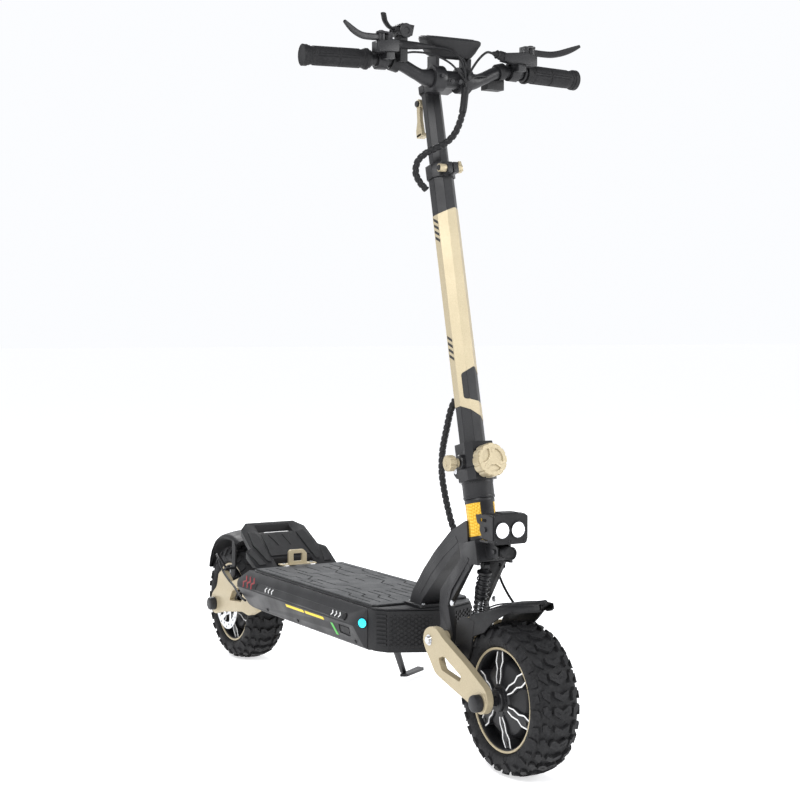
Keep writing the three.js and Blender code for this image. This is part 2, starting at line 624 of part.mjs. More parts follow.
function latchKnob() {
  const disc = lobed(29, 3, 12, [0, -58, KNOB_S], [0, -38, KNOB_S]);
  const collar = rod([0, -39, KNOB_S], [0, -31, KNOB_S], 10, 16);
  return join(disc, collar, rod([0, -32, KNOB_S], [0, -15, KNOB_S], 5, 12));
}

function lockPin() {
  const disc = lobed(14, 2, 8, [-60, LOCK_V, LOCK_S], [-47, LOCK_V, LOCK_S]);
  const collar = rod([-48, LOCK_V, LOCK_S], [-38, LOCK_V, LOCK_S], 8, 12);
  return join(disc, collar, rod([-40, LOCK_V, LOCK_S], [-9, LOCK_V, LOCK_S], 4, 12));
}

function heightClamp() {
  const band = cut(octagon(24, [1029, 1053.7]), octagon(STEM_TUBE_APOTHEM + 0.4, [1020, 1060]));
  const ears = box([-9, 13], [-41, -23.2], [1030, 1049]);
  const split = box([1, 3], [-50, -10], [1020, 1060]);
  const boltBore = longRod([-12, -33, 1039.5], [16, -33, 1039.5], 3.4, 12);
  add("height_clamp", cut(join(band, ears), split, boltBore), BLACK_METAL, steering);
  const nut = rod([-23, -33, 1039.5], [-9.4, -33, 1039.5], 7, 16);
  const bolt = rod([-22, -33, 1039.5], [20, -33, 1039.5], 3, 12);
  const cam = rod([13.4, -33, 1039.5], [22, -33, 1039.5], 8, 16);
  const lever = sidePlate([[-41, 1033], [-26, 1033], [-27.5, 1052], [-37, 1052]], [17, 22]);
  add("clamp_lever", join(nut, bolt, cam, lever), GOLD, steering);
}

// ---------------------------------------------------------------- upper stem and handlebar
const HOOK_S = 1178.5; // pivot of the hook that holds the folded stem down
const HOOK_V = 28;

function upperStem() {
  const tube = cut(octagon(INNER_TUBE_APOTHEM, [760, 1196]), octagon(13.5, [750, 1180]));
  const lug = sidePlate([[15, 1168], [15, 1187], [30, 1186], [35, 1179], [30, 1171]], [-4.7, 4.7]);
  const lugBore = longRod([-6, HOOK_V, HOOK_S], [6, HOOK_V, HOOK_S], 3.4, 12);
  add("inner_tube", cut(join(tube, lug), lugBore), BLACK_METAL, steering);

  const bore = octagon(INNER_TUBE_APOTHEM + GAP, [1160, 1196.4]);
  const sleeve = cut(octagon(20, [1188.5, 1202]), bore);
  const arm = box([-24, 24], [-50, -17.2], [1181, 1202]);
  add("bar_clamp", barClamp(join(sleeve, cut(arm, bore))), BLACK_METAL);

  const hookOutline = [
    [22, 1177], [28, 1186], [34.5, 1177], [37, 1148], [45, 1132], [45, 1119], [26, 1119],
    [26, 1131], [27.5, 1148],
  ];
  const hookPlate = sidePlate(hookOutline, [-13, -5.3]);
  const hookEye = rod([-13, HOOK_V, HOOK_S], [-5.3, HOOK_V, HOOK_S], 8.5, 16);
  const foot = box([-13, 3], [27, 45], [1119, 1125]);
  const hookPin = rod([-16, HOOK_V, HOOK_S], [5, HOOK_V, HOOK_S], 3, 12);
  const hookHead = rod([-16.5, HOOK_V, HOOK_S], [-13, HOOK_V, HOOK_S], 6, 12);
  add("folding_hook", join(hookPlate, hookEye, foot, hookPin, hookHead), GOLD, steering);
}

function barClamp(bracket) {
  let clamp = upright(bracket);
  for (const x of [[-38, -16], [16, 38]]) {
    clamp = join(clamp, rod([x[0], BAR_Y, BAR_Z], [x[1], BAR_Y, BAR_Z], 23, 20));
  }
  for (const x of [[-36, -29], [29, 36]]) {
    const rise = [[BAR_Y - 14, BAR_Z], [BAR_Y + 14, BAR_Z], [BAR_Y + 14, 1214], [BAR_Y - 16, 1211]];
    clamp = join(clamp, sidePlate(rise, x));
  }
  return cut(clamp, longRod([-40, BAR_Y, BAR_Z], [40, BAR_Y, BAR_Z], 16.3, 20));
}

const BAR_HALF = [
  [0, BAR_Y, BAR_Z], [46, -325, 1174.8], [68, -325, 1181], [92, -323.7, 1192], [114, -322.5, 1198.4],
  [138, -320.7, 1198.8], GRIP_INNER, [200, -316.2, 1198], [240, -313.2, 1197.4], [274, -310.8, 1197],
];

function barTube(radius) {
  const left = BAR_HALF.slice(1);
  const right = left.map(([x, y, z]) => [-x, y, z]).reverse();
  return cord([...right, BAR_HALF[0], ...left], radius, 12, 28);
}

function handlebar() {
  const tube = barTube(BAR_RADIUS);
  const centreSleeve = rod([-42, BAR_Y, BAR_Z], [42, BAR_Y, BAR_Z], 15.9, 20);
  add("handlebar", join(tube, centreSleeve), BLACK_METAL);
  for (const [name, side] of [["grip_right", -1], ["grip_left", 1]]) {
    const from = [side * GRIP_INNER[0], GRIP_INNER[1], GRIP_INNER[2]];
    const to = [side * GRIP_OUTER[0], GRIP_OUTER[1], GRIP_OUTER[2]];
    add(name, grip(from, to), RUBBER);
  }
}

function grip(from, to) {
  const body = rod(from, to, GRIP_RADIUS, 16);
  const flange = (a, b) => rod(pointBetween(from, to, a), pointBetween(from, to, b), GRIP_RADIUS + 2.5, 16);
  const bore = rod(pointBetween(from, to, -0.02), pointBetween(from, to, 0.975), BAR_RADIUS + 1, 12);
  return cut(join(body, flange(0, 0.05), flange(0.92, 1)), bore);
}

function pointBetween(from, to, t) {
  return from.map((value, i) => value + (to[i] - value) * t);
}

function controls() {
  const ringAt = (x0, x1, radius) => {
    const z0 = barZ(Math.abs(x0));
    const z1 = barZ(Math.abs(x1));
    return rod([x0, z0[0], z0[1]], [x1, z1[0], z1[1]], radius, 14);
  };
  const bore = barTube(BAR_RADIUS + 0.6);

  const rightBlock = planPlate([[-160, -364], [-121, -364], [-121, -336], [-160, -336]], [1206, 1228.5]);
  const rightArm = box([-142, -126], [-356, -328], [1196, 1210]);
  const right = join(ringAt(-144, -126, 17), rightArm, rightBlock, leverEars(-1));
  add("brake_perch_right", cut(right, bore, leverSpace(-1)), BLACK_METAL);

  const leftBlock = planPlate([[95, -364], [160, -364], [160, -336], [95, -336]], [1206, 1228.5]);
  const leftArm = box([126, 142], [-356, -328], [1196, 1210]);
  const left = join(ringAt(126, 144, 17), leftArm, leftBlock, leverEars(1));
  add("brake_perch_left", cut(left, bore, leverSpace(1)), BLACK_METAL);

  add("brake_lever_right", brakeLever(-1), BLACK_METAL);
  add("brake_lever_left", brakeLever(1), BLACK_METAL);

  const throttleNeck = box([-113, -99], [-352, -330], [1194, 1242]);
  const caseOutline = [[-124, 1240], [-118, 1237], [-92, 1238], [-88, 1256], [-112, 1258], [-122, 1252]];
  const throttleCase = crossSection(caseOutline, [-356, -330]);
  const throttle = join(ringAt(-116, -101, 16.5), throttleNeck, throttleCase);
  const slot = box([-140, -103.5], [-360, -332], [1243, 1252.4]);
  add("throttle_housing", cut(throttle, bore, slot), BLACK_PLASTIC);
  const triggerShape = [
    [-106.5, -350], [-106.5, -338], [-116, -336.5], [-124, -338.5], [-124, -352], [-112, -355],
  ];
  const bladePath = [[-120, -345, 1247.5], [-134, -350, 1250], [-148, -360, 1258], [-160, -372, 1268]];
  const blade = cord(bladePath, 4, 8, 8);
  const hub = planPlate(triggerShape, [1243.7, 1251.7]);
  add("throttle_trigger", join(hub, blade), BLACK_PLASTIC);

  const pod = join(ringAt(100, 114, 15), box([86, 121], [-316, -294], [1166, 1196]));
  const buttonPocket = box([92, 102], [-303, -290], [1174, 1184]);
  add("switch_pod", cut(pod, bore, buttonPocket), BLACK_PLASTIC);
  add("horn_button", box([92.4, 101.6], [-299.6, -291.5], [1174.4, 1183.6]), GOLD);
}

// The bar's height and depth at a distance from its centre.
function barZ(x) {
  const curve = new THREE.CatmullRomCurve3(BAR_HALF.map((point) => new THREE.Vector3(...point)));
  const points = curve.getPoints(200);
  const nearer = (best, point) => (Math.abs(point.x - x) < Math.abs(best.x - x) ? point : best);
  const nearest = points.reduce(nearer);
  return [nearest.y, nearest.z];
}

const LEVER_PIVOT = [152, -354];
function leverEars(side) {
  const [x, y] = LEVER_PIVOT;
  const ear = rod([side * x, y, 1206], [side * x, y, 1240], 9, 16);
  return join(ear, box(side > 0 ? [134, 152] : [-152, -134], [y - 9, y + 9], [1220, 1240]));
}

function leverSpace(side) {
  const [x, y] = LEVER_PIVOT;
  const swing = rod([side * x, y, 1224.6], [side * x, y, 1236.4], 13, 20);
  const mouth = side > 0 ? [x, 200] : [-200, -x];
  const pinBore = rod([side * x, y, 1213.6], [side * x, y, 1241], 3, 10);
  return join(swing, box(mouth, [y - 30, y + 30], [1224.6, 1236.4]), pinBore);
}

function brakeLever(side) {
  const [x, y] = LEVER_PIVOT;
  const hub = rod([side * x, y, 1225], [side * x, y, 1236], 7.5, 16);
  const bend = [[x + 3, y, 1230.5], [x + 22, y - 4, 1229.5], [190, -362, 1229]];
  const path = [...bend, [214, -372, 1234], [240, -386, 1245]];
  const blade = cord(path.map(([a, b, c]) => [side * a, b, c]), 5, 8, 7);
  const pin = rod([side * x, y, 1214], [side * x, y, 1239.5], 2.6, 10);
  return join(hub, blade, pin);
}

function dashboard() {
  const side = [[-364, 1216], [-356, 1241], [-306, 1253], [-293, 1248], [-299, 1222], [-328, 1211.5]];
  const front = symmetric([[30, 1205], [54, 1230], [56, 1239], [44, 1259]]);
  const body = sidePlate(side, [-57, 57], 2).intersect(crossSection(front, [-380, -280]));
  const supports = [[-36.5, -28.5], [28.5, 36.5]].map((x) => box(x, [-348, -306], [1205, 1214.5]));
  add("dashboard", cut(body, ...supports), BLACK_PLASTIC);
}

// ---------------------------------------------------------------- cables
const UPPER_LOOM = [
  [20, -346, 1150], [19, -343, 1128], [15, -340, 1105], [7, -335, 1082], [-5, -330, 1067], [-20, -325, 1057],
  [-38, -317, 1048], [-52, -307, 1033], [-54, -302, 1012], [-45, -302, 995], [-33, -304, 983],
];
const LOWER_LOOM = [
  [-8, -360, 615], [-12, -352, 596], [-14, -342, 565], [-14, -328, 525], [-12, -322, 485],
  [-8, -326, 447], [-4, -338, 405], [0, -349, 378],
];
const REAR_CABLE = [
  [-121, 285, 176], [-119, 310, 179], [-112, 345, 184], [-103, 385, 191], [-97, 430, 200], [-92, 470, 213],
  [-88, 500, 232], [-82, 526, 240], [-71, 535, 232], [-61, 530, 212], [-57, 524, 191],
];

function cables() {
  add("upper_loom", cord(UPPER_LOOM, 6, 8, 16), RUBBER);
  add("lower_loom", cord(LOWER_LOOM, 6, 8, 14), RUBBER);
  add("rear_brake_cable", cord(REAR_CABLE, 2.4, 8, 22), RUBBER);
}

frontRunningGear();
rearRunningGear();
deck();
footrest();
neck();
kickstand();
steerer();
stem();
upperStem();
handlebar();
controls();
dashboard();
cables();

export default scooter;
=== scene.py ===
"""Electric kick scooter: the looks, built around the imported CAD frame. Lengths are in millimetres until a
piece is finished, and then in metres. Forward is -Y, the rider's right is -X, and +Z is up."""
import math

import bmesh
import bpy
from mathutils import Matrix, Vector


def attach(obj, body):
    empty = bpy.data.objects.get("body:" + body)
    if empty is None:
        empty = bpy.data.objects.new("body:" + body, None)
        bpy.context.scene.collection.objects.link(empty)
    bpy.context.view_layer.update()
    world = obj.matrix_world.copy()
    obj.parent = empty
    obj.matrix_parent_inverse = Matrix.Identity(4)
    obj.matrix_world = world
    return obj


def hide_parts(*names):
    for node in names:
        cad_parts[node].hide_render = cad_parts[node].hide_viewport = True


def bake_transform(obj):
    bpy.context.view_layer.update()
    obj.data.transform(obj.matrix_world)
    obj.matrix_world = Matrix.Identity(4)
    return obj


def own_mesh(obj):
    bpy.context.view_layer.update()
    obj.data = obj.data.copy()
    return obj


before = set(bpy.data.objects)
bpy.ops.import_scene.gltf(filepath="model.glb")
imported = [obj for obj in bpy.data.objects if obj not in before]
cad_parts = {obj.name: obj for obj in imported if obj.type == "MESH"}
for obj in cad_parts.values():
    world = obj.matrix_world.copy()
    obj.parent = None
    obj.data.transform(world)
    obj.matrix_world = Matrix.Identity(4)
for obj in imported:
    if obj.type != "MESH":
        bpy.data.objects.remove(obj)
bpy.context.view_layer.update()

MM = 0.001
TURN = 2 * math.pi
AXLE_Z = 127.5
FRONT_AXLE_Y = -550
REAR_AXLE_Y = 550
TYRE_RADIUS = 127.5
RAKE = math.radians(12.965)
STEER_FOOT_Y = -529.8
# Turns a shape built along the steering axis (x, behind, up the axis) into the scooter's frame.
STEM = Matrix.Translation((0, STEER_FOOT_Y, 0)) @ Matrix.Rotation(-RAKE, 4, "X")


# ---------------------------------------------------------------- camera and studio
def make_camera():
    """The photo's own view, fitted to points on the wheels, the deck, the stem and the bar."""
    yaw = math.radians(29.614)
    pitch = math.radians(2.521)
    data = bpy.data.cameras.new("camera")
    data.lens = 71.79
    camera = bpy.data.objects.new("camera", data)
    camera.location = (-1.46666, -2.73157, 0.73717)
    ahead = Vector((math.sin(yaw) * math.cos(pitch), math.cos(yaw) * math.cos(pitch), -math.sin(pitch)))
    camera.rotation_euler = ahead.to_track_quat("-Z", "Y").to_euler()
    bpy.context.scene.collection.objects.link(camera)
    bpy.context.scene.camera = camera


def area_light(name, place, target, size, power):
    data = bpy.data.lights.new(name, "AREA")
    data.size = size
    data.energy = power
    light = bpy.data.objects.new(name, data)
    light.location = place
    light.rotation_euler = (Vector(target) - Vector(place)).to_track_quat("-Z", "Y").to_euler()
    bpy.context.scene.collection.objects.link(light)


def make_studio():
    world = bpy.data.worlds.new("studio")
    bpy.context.scene.world = world
    world.use_nodes = True
    sky = world.node_tree.nodes["Background"]
    sky.inputs["Strength"].default_value = 1.0
    # White round the horizon, and darker overhead so that the blacks keep their contrast.
    place = world.node_tree.nodes.new("ShaderNodeTexCoord")
    split = world.node_tree.nodes.new("ShaderNodeSeparateXYZ")
    shade = world.node_tree.nodes.new("ShaderNodeValToRGB")
    shade.color_ramp.elements[0].position = 0.28
    shade.color_ramp.elements[1].position = 0.50
    shade.color_ramp.elements[0].color = (0.97, 0.98, 1.0, 1)
    shade.color_ramp.elements[1].color = (0.34, 0.35, 0.37, 1)
    world.node_tree.links.new(place.outputs["Generated"], split.inputs["Vector"])
    world.node_tree.links.new(split.outputs["Z"], shade.inputs["Fac"])
    world.node_tree.links.new(shade.outputs["Color"], sky.inputs["Color"])
    bpy.context.scene.view_settings.view_transform = "Standard"
    area_light("key", (-2.6, -2.2, 3.2), (0, 0, 0.5), 1.6, 125)
    area_light("fill", (2.8, -2.4, 1.8), (0, 0, 0.5), 1.8, 60)
    area_light("back", (0.6, 3.0, 2.6), (0, 0, 0.5), 1.6, 80)

    bm = bmesh.new()
    reach = 60
    corners = [(-reach, -reach, 0), (reach, -reach, 0), (reach, reach, 0), (-reach, reach, 0)]
    bm.faces.new([bm.verts.new(corner) for corner in corners])
    mesh = bpy.data.meshes.new("floor")
    bm.to_mesh(mesh)
    bm.free()
    floor = bpy.data.objects.new("floor", mesh)
    bpy.context.scene.collection.objects.link(floor)
    pale = new_material("floor_paint", (0.88, 0.88, 0.89), 0.9, 0.0, 0.0)
    speckle(pale, 40, (0.87, 0.87, 0.88), (0.89, 0.89, 0.90))
    pale_shader = pale.node_tree.nodes["Principled BSDF"]
    pale_shader.inputs["Emission Color"].default_value = (1, 1, 1, 1)
    pale_shader.inputs["Emission Strength"].default_value = 0.60
    mesh.materials.append(pale)


# ---------------------------------------------------------------- materials
def new_material(name, color, roughness, metallic=0.0, specular=0.5):
    material = bpy.data.materials.new(name)
    material.use_nodes = True
    shader = material.node_tree.nodes["Principled BSDF"]
    shader.inputs["Base Color"].default_value = (*color, 1)
    shader.inputs["Roughness"].default_value = roughness
    shader.inputs["Metallic"].default_value = metallic
    shader.inputs["Specular IOR Level"].default_value = specular
    return material


def noise(material, scale, detail=4.0, stretch=(1, 1, 1)):
    """Noise in the object's own coordinates; the scale is in waves a metre."""
    nodes = material.node_tree.nodes
    links = material.node_tree.links
    place = nodes.new("ShaderNodeTexCoord")
    mapping = nodes.new("ShaderNodeMapping")
    mapping.inputs["Scale"].default_value = stretch
    texture = nodes.new("ShaderNodeTexNoise")
    texture.inputs["Scale"].default_value = scale
    texture.inputs["Detail"].default_value = detail
    links.new(place.outputs["Object"], mapping.inputs["Vector"])
    links.new(mapping.outputs["Vector"], texture.inputs["Vector"])
    return texture.outputs["Fac"]


def bump(material, height, strength, distance):
    """Adds a bump on top of any bump that is already there."""
    nodes = material.node_tree.nodes
    links = material.node_tree.links
    shader = nodes["Principled BSDF"]
    node = nodes.new("ShaderNodeBump")
    node.inputs["Strength"].default_value = strength
    node.inputs["Distance"].default_value = distance
    links.new(height, node.inputs["Height"])
    if shader.inputs["Normal"].is_linked:
        links.new(shader.inputs["Normal"].links[0].from_socket, node.inputs["Normal"])
    links.new(node.outputs["Normal"], shader.inputs["Normal"])


def ramp(material, factor, low, high, start=0.35, end=0.65):
    nodes = material.node_tree.nodes
    node = nodes.new("ShaderNodeValToRGB")
    node.color_ramp.elements[0].position = start
    node.color_ramp.elements[1].position = end
    node.color_ramp.elements[0].color = (*low, 1)
    node.color_ramp.elements[1].color = (*high, 1)
    material.node_tree.links.new(factor, node.inputs["Fac"])
    return node.outputs["Color"]


def speckle(material, scale, low, high, start=0.35, end=0.65):
    """Colour that varies between two tones."""
    shader = material.node_tree.nodes["Principled BSDF"]
    color = ramp(material, noise(material, scale), low, high, start, end)
    material.node_tree.links.new(color, shader.inputs["Base Color"])


def uneven_gloss(material, scale, low, high):
    """Roughness that varies, as handling and dust leave it."""
    shader = material.node_tree.nodes["Principled BSDF"]
    value = ramp(material, noise(material, scale, 6), (low,) * 3, (high,) * 3)
    material.node_tree.links.new(value, shader.inputs["Roughness"])


def gold_paint():
    material = new_material("gold_paint", (0.46, 0.39, 0.26), 0.42, 0.35, 0.35)
    speckle(material, 900, (0.42, 0.355, 0.235), (0.50, 0.43, 0.29))
    uneven_gloss(material, 25, 0.36, 0.48)
    bump(material, noise(material, 1400, 2), 0.12, 0.0003)
    return material


def black_metal():
    material = new_material("black_metal", (0.014, 0.014, 0.015), 0.42, 0.0, 0.36)
    speckle(material, 700, (0.010, 0.010, 0.011), (0.018, 0.018, 0.020))
    uneven_gloss(material, 18, 0.34, 0.50)
    bump(material, noise(material, 1100, 3), 0.22, 0.0003)
    return material


def black_plastic():
    material = new_material("black_plastic", (0.011, 0.011, 0.012), 0.55, 0.0, 0.30)
    speckle(material, 500, (0.008, 0.008, 0.009), (0.014, 0.014, 0.015))
    uneven_gloss(material, 22, 0.46, 0.62)
    bump(material, noise(material, 1800, 5), 0.30, 0.0003)
    return material


def soft_rubber(name, low, high, roughness):
    material = new_material(name, low, roughness, 0.0, 0.25)
    speckle(material, 260, low, high)
    uneven_gloss(material, 30, roughness - 0.08, roughness + 0.08)
    bump(material, noise(material, 1300, 6), 0.35, 0.0004)
    return material


def brushed_steel():
    material = new_material("steel", (0.62, 0.63, 0.65), 0.28, 1.0)
    uneven_gloss(material, 60, 0.20, 0.36)
    bump(material, noise(material, 500, 2, (1, 1, 12)), 0.15, 0.0002)
    return material


def reflector_film():
    """Amber film pressed into small diamonds."""
    material = new_material("reflector", (0.80, 0.47, 0.02), 0.22, 0.35)
    nodes = material.node_tree.nodes
    links = material.node_tree.links
    place = nodes.new("ShaderNodeTexCoord")
    mapping = nodes.new("ShaderNodeMapping")
    mapping.inputs["Rotation"].default_value = (0, math.pi / 4, 0)
    cells = nodes.new("ShaderNodeTexVoronoi")
    cells.inputs["Scale"].default_value = 260
    cells.inputs["Randomness"].default_value = 0
    links.new(place.outputs["Object"], mapping.inputs["Vector"])
    links.new(mapping.outputs["Vector"], cells.inputs["Vector"])
    color = ramp(material, cells.outputs["Distance"], (0.95, 0.66, 0.10), (0.66, 0.34, 0.01), 0.1, 0.7)
    links.new(color, nodes["Principled BSDF"].inputs["Base Color"])
    bump(material, cells.outputs["Distance"], 0.5, 0.0006)
    return material


def glowing(name, color, strength, roughness=0.2):
    material = new_material(name, color, roughness)
    shader = material.node_tree.nodes["Principled BSDF"]
    shader.inputs["Emission Color"].default_value = (*color, 1)
    shader.inputs["Emission Strength"].default_value = strength
    bump(material, noise(material, 300, 2), 0.05, 0.0003)
    return material


def screen_glass():
    material = new_material("screen", (0.006, 0.006, 0.008), 0.07)
    uneven_gloss(material, 12, 0.04, 0.12)
    return material


def plain_paint(name, color, roughness):
    """A printed or painted mark: nearly even, with a little grain."""
    material = new_material(name, color, roughness)
    darker = tuple(value * 0.9 for value in color)
    speckle(material, 400, darker, color)
    bump(material, noise(material, 900, 3), 0.1, 0.0002)
    return material


LOOKS = {
    "gold_paint": gold_paint(),
    "black_metal": black_metal(),
    "black_plastic": black_plastic(),
    "rubber": soft_rubber("rubber", (0.009, 0.009, 0.010), (0.016, 0.016, 0.017), 0.62),
    "cable": soft_rubber("cable", (0.007, 0.007, 0.008), (0.013, 0.013, 0.014), 0.50),
    "tyre": soft_rubber("tyre", (0.009, 0.009, 0.010), (0.019, 0.019, 0.020), 0.66),
    "deck_mat": soft_rubber("deck_mat", (0.050, 0.052, 0.055), (0.078, 0.080, 0.084), 0.68),
    "steel": brushed_steel(),
    "battery": plain_paint("battery", (0.03, 0.08, 0.24), 0.45),
    "aluminium": plain_paint("aluminium", (0.55, 0.56, 0.57), 0.4),
    "orange_plastic": plain_paint("orange_plastic", (0.65, 0.2, 0.03), 0.45),
    "lens": glowing("lens", (0.95, 0.96, 1.0), 0.9, 0.08),
    "screen": screen_glass(),
    "reflector": reflector_film(),
    "lamp_cyan": glowing("lamp_cyan", (0.02, 0.62, 0.80), 1.4),
    "lamp_red": glowing("lamp_red", (0.22, 0.008, 0.012), 0.12),
    "white_mark": plain_paint("white_mark", (0.82, 0.82, 0.82), 0.45),
    "yellow_mark": plain_paint("yellow_mark", (0.90, 0.66, 0.02), 0.45),
    "green_mark": plain_paint("green_mark", (0.07, 0.50, 0.06), 0.40),
}


# ---------------------------------------------------------------- shape helpers (millimetres)
def skin(bm, rings, loop=False, caps=True):
    """Joins rings of points into a surface; a ring of one point closes to a tip."""
    rows = [[bm.verts.new(point) for point in ring] for ring in rings]
    pairs = list(zip(rows, rows[1:]))
    if loop:
        pairs.append((rows[-1], rows[0]))
    for low, high in pairs:
        count = max(len(low), len(high))
        for i in range(count):
            j = (i + 1) % count
            corners = [low[i % len(low)], low[j % len(low)], high[j % len(high)], high[i % len(high)]]
            unique = list(dict.fromkeys(corners))
            if len(unique) > 2:
                bm.faces.new(unique)
    if caps and not loop:
        for row in (rows[0], rows[-1]):
            if len(row) > 2:
                bm.faces.new(row)
    return rows


PLACE = {
    "x": lambda a, b, height: Vector((height, a, b)),
    "y": lambda a, b, height: Vector((a, height, b)),
    "z": lambda a, b, height: Vector((a, b, height)),
}


def add_mapped(bm, outline, low, high, place):
    """A prism on any surface: place(a, b, height) gives the point."""
    skin(bm, [[place(a, b, height) for a, b in outline] for height in (low, high)])


def add_prism(bm, outline, axis, low, high):
    """An outline with depth along an axis: (y, z) points along x, (x, z) along y, (x, y) along z."""
    add_mapped(bm, outline, low, high, PLACE[axis])


def add_slab(bm, outline, side, near, far):
    """A plate on one side of the scooter, between two distances from its middle; the outline is (y, z)."""
    low, high = sorted((side * near, side * far))
    add_prism(bm, outline, "x", low, high)


def rectangle(a, b):
    return [(a[0], b[0]), (a[1], b[0]), (a[1], b[1]), (a[0], b[1])]


def add_box(bm, x, y, z):
    add_prism(bm, rectangle(x, y), "z", *z)


def add_plate(bm, outline, holes, axis, low, high):
    """A prism with holes through it."""
    place = PLACE[axis]
    sheet = bmesh.new()
    for loop in [outline, *holes]:
        verts = [sheet.verts.new(place(a, b, low)) for a, b in loop]
        for i, vert in enumerate(verts):
            sheet.edges.new((vert, verts[(i + 1) % len(verts)]))
    bmesh.ops.triangle_fill(sheet, use_beauty=True, edges=sheet.edges[:])
    bmesh.ops.dissolve_limit(sheet, angle_limit=0.01, verts=sheet.verts[:], edges=sheet.edges[:])
    walls = bmesh.ops.extrude_face_region(sheet, geom=sheet.faces[:])
    moved = [item for item in walls["geom"] if isinstance(item, bmesh.types.BMVert)]
    bmesh.ops.translate(sheet, vec=place(0, 0, high - low), verts=moved)
    merge(bm, sheet)


def merge(bm, other, matrix=None):
    """Adds another bmesh's geometry and frees it."""
    if matrix is not None:
        other.transform(matrix)
    mesh = bpy.data.meshes.new("scratch")
    other.to_mesh(mesh)
    other.free()
    bm.from_mesh(mesh)
    bpy.data.meshes.remove(mesh)


def across(direction):
    """Two unit vectors at right angles to a direction."""
    helper = Vector((0, 0, 1)) if abs(direction.z) < 0.9 else Vector((0, 1, 0))
    side = direction.cross(helper).normalized()
    return side, side.cross(direction).normalized()


def add_lathe(bm, profile, start, direction, steps=48, closed=False):
    """(radius, along) pairs turned about the line from start in a direction."""
    origin = Vector(start)
    axis = Vector(direction).normalized()
    side, up = across(axis)
    rings = []
    for radius, along in profile:
        centre = origin + axis * along
        if radius < 0.001:
            rings.append([centre])
            continue
        angles = [TURN * i / steps for i in range(steps)]
        rings.append([centre + (side * math.cos(a) + up * math.sin(a)) * radius for a in angles])
    skin(bm, rings, loop=closed, caps=not closed)


def add_rod(bm, start, end, radius, steps=32):
    way = Vector(end) - Vector(start)
    add_lathe(bm, [(radius, 0), (radius, way.length)], start, way, steps)


def smooth_path(points, step):
    """Points a fixed step apart on a smooth curve through given points."""
    knots = [Vector(point) for point in points]
    dense = []
    for i in range(len(knots) - 1):
        a, b, c, d = knots[max(i - 1, 0)], knots[i], knots[i + 1], knots[min(i + 2, len(knots) - 1)]
        for k in range(16):
            t = k / 16
            curve = 2 * b + (c - a) * t + (2 * a - 5 * b + 4 * c - d) * t**2 + (3 * b - a - 3 * c + d) * t**3
            dense.append(curve / 2)
    dense.append(knots[-1])
    lengths = [0.0]
    for a, b in zip(dense, dense[1:]):
        lengths.append(lengths[-1] + (b - a).length)
    count = max(2, round(lengths[-1] / step))
    path = []
    at = 0
    for k in range(count + 1):
        goal = lengths[-1] * k / count
        while at < len(dense) - 2 and lengths[at + 1] < goal:
            at += 1
        share = (goal - lengths[at]) / max(lengths[at + 1] - lengths[at], 1e-9)
        path.append(dense[at].lerp(dense[at + 1], share))
    return path


def path_frames(path):
    """The two directions across a path at each point, turning as little as possible."""
    ways = [(b - a).normalized() for a, b in zip(path, path[1:])]
    ways.append(ways[-1])
    side, _ = across(ways[0])
    frames = []
    for way in ways:
        side = (side - way * side.dot(way)).normalized()
        frames.append((side, way.cross(side)))
    return frames


def add_tube(bm, path, radius, sides=16):
    """A tube along a path; the radius is a number or a function of distance and angle."""
    rings = []
    run = 0.0
    for i, (point, (side, up)) in enumerate(zip(path, path_frames(path))):
        if i:
            run += (point - path[i - 1]).length
        ring = []
        for k in range(sides):
            angle = TURN * k / sides
            reach = radius(run, angle) if callable(radius) else radius
            ring.append(point + (side * math.cos(angle) + up * math.sin(angle)) * reach)
        rings.append(ring)
    skin(bm, rings)


def rounded(outline, radius, steps=4):
    """The outline with its corners rounded."""
    points = [Vector(point) for point in outline]
    result = []
    for i, corner in enumerate(points):
        before = points[i - 1] - corner
        after = points[(i + 1) % len(points)] - corner
        start = corner + before.normalized() * min(radius, before.length * 0.45)
        end = corner + after.normalized() * min(radius, after.length * 0.45)
        for k in range(steps + 1):
            t = k / steps
            point = start * (1 - t) ** 2 + corner * 2 * t * (1 - t) + end * t**2
            result.append((point.x, point.y))
    return result


def polar(radius, angle, a=0.0, b=0.0):
    """A point of a circle round (a, b)."""
    return a + radius * math.cos(angle), b + radius * math.sin(angle)


def circle(a, b, radius, steps=16, phase=0.0):
    return [polar(radius, TURN * i / steps + phase, a, b) for i in range(steps)]


def symmetric(half):
    """A half outline on the +X side, from one end to the other, and its mirror image."""
    return [*half, *[(-a, b) for a, b in reversed(half)]]


def cad_shape(node):
    """A copy of a CAD node's shape, with the triangles of each flat face joined."""
    bm = bmesh.new()
    bm.from_mesh(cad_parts[node].data)
    bmesh.ops.scale(bm, vec=(1 / MM,) * 3, verts=bm.verts)
    bmesh.ops.remove_doubles(bm, verts=bm.verts, dist=0.02)
    bmesh.ops.dissolve_limit(bm, angle_limit=math.radians(0.6), verts=bm.verts, edges=bm.edges)
    return bm


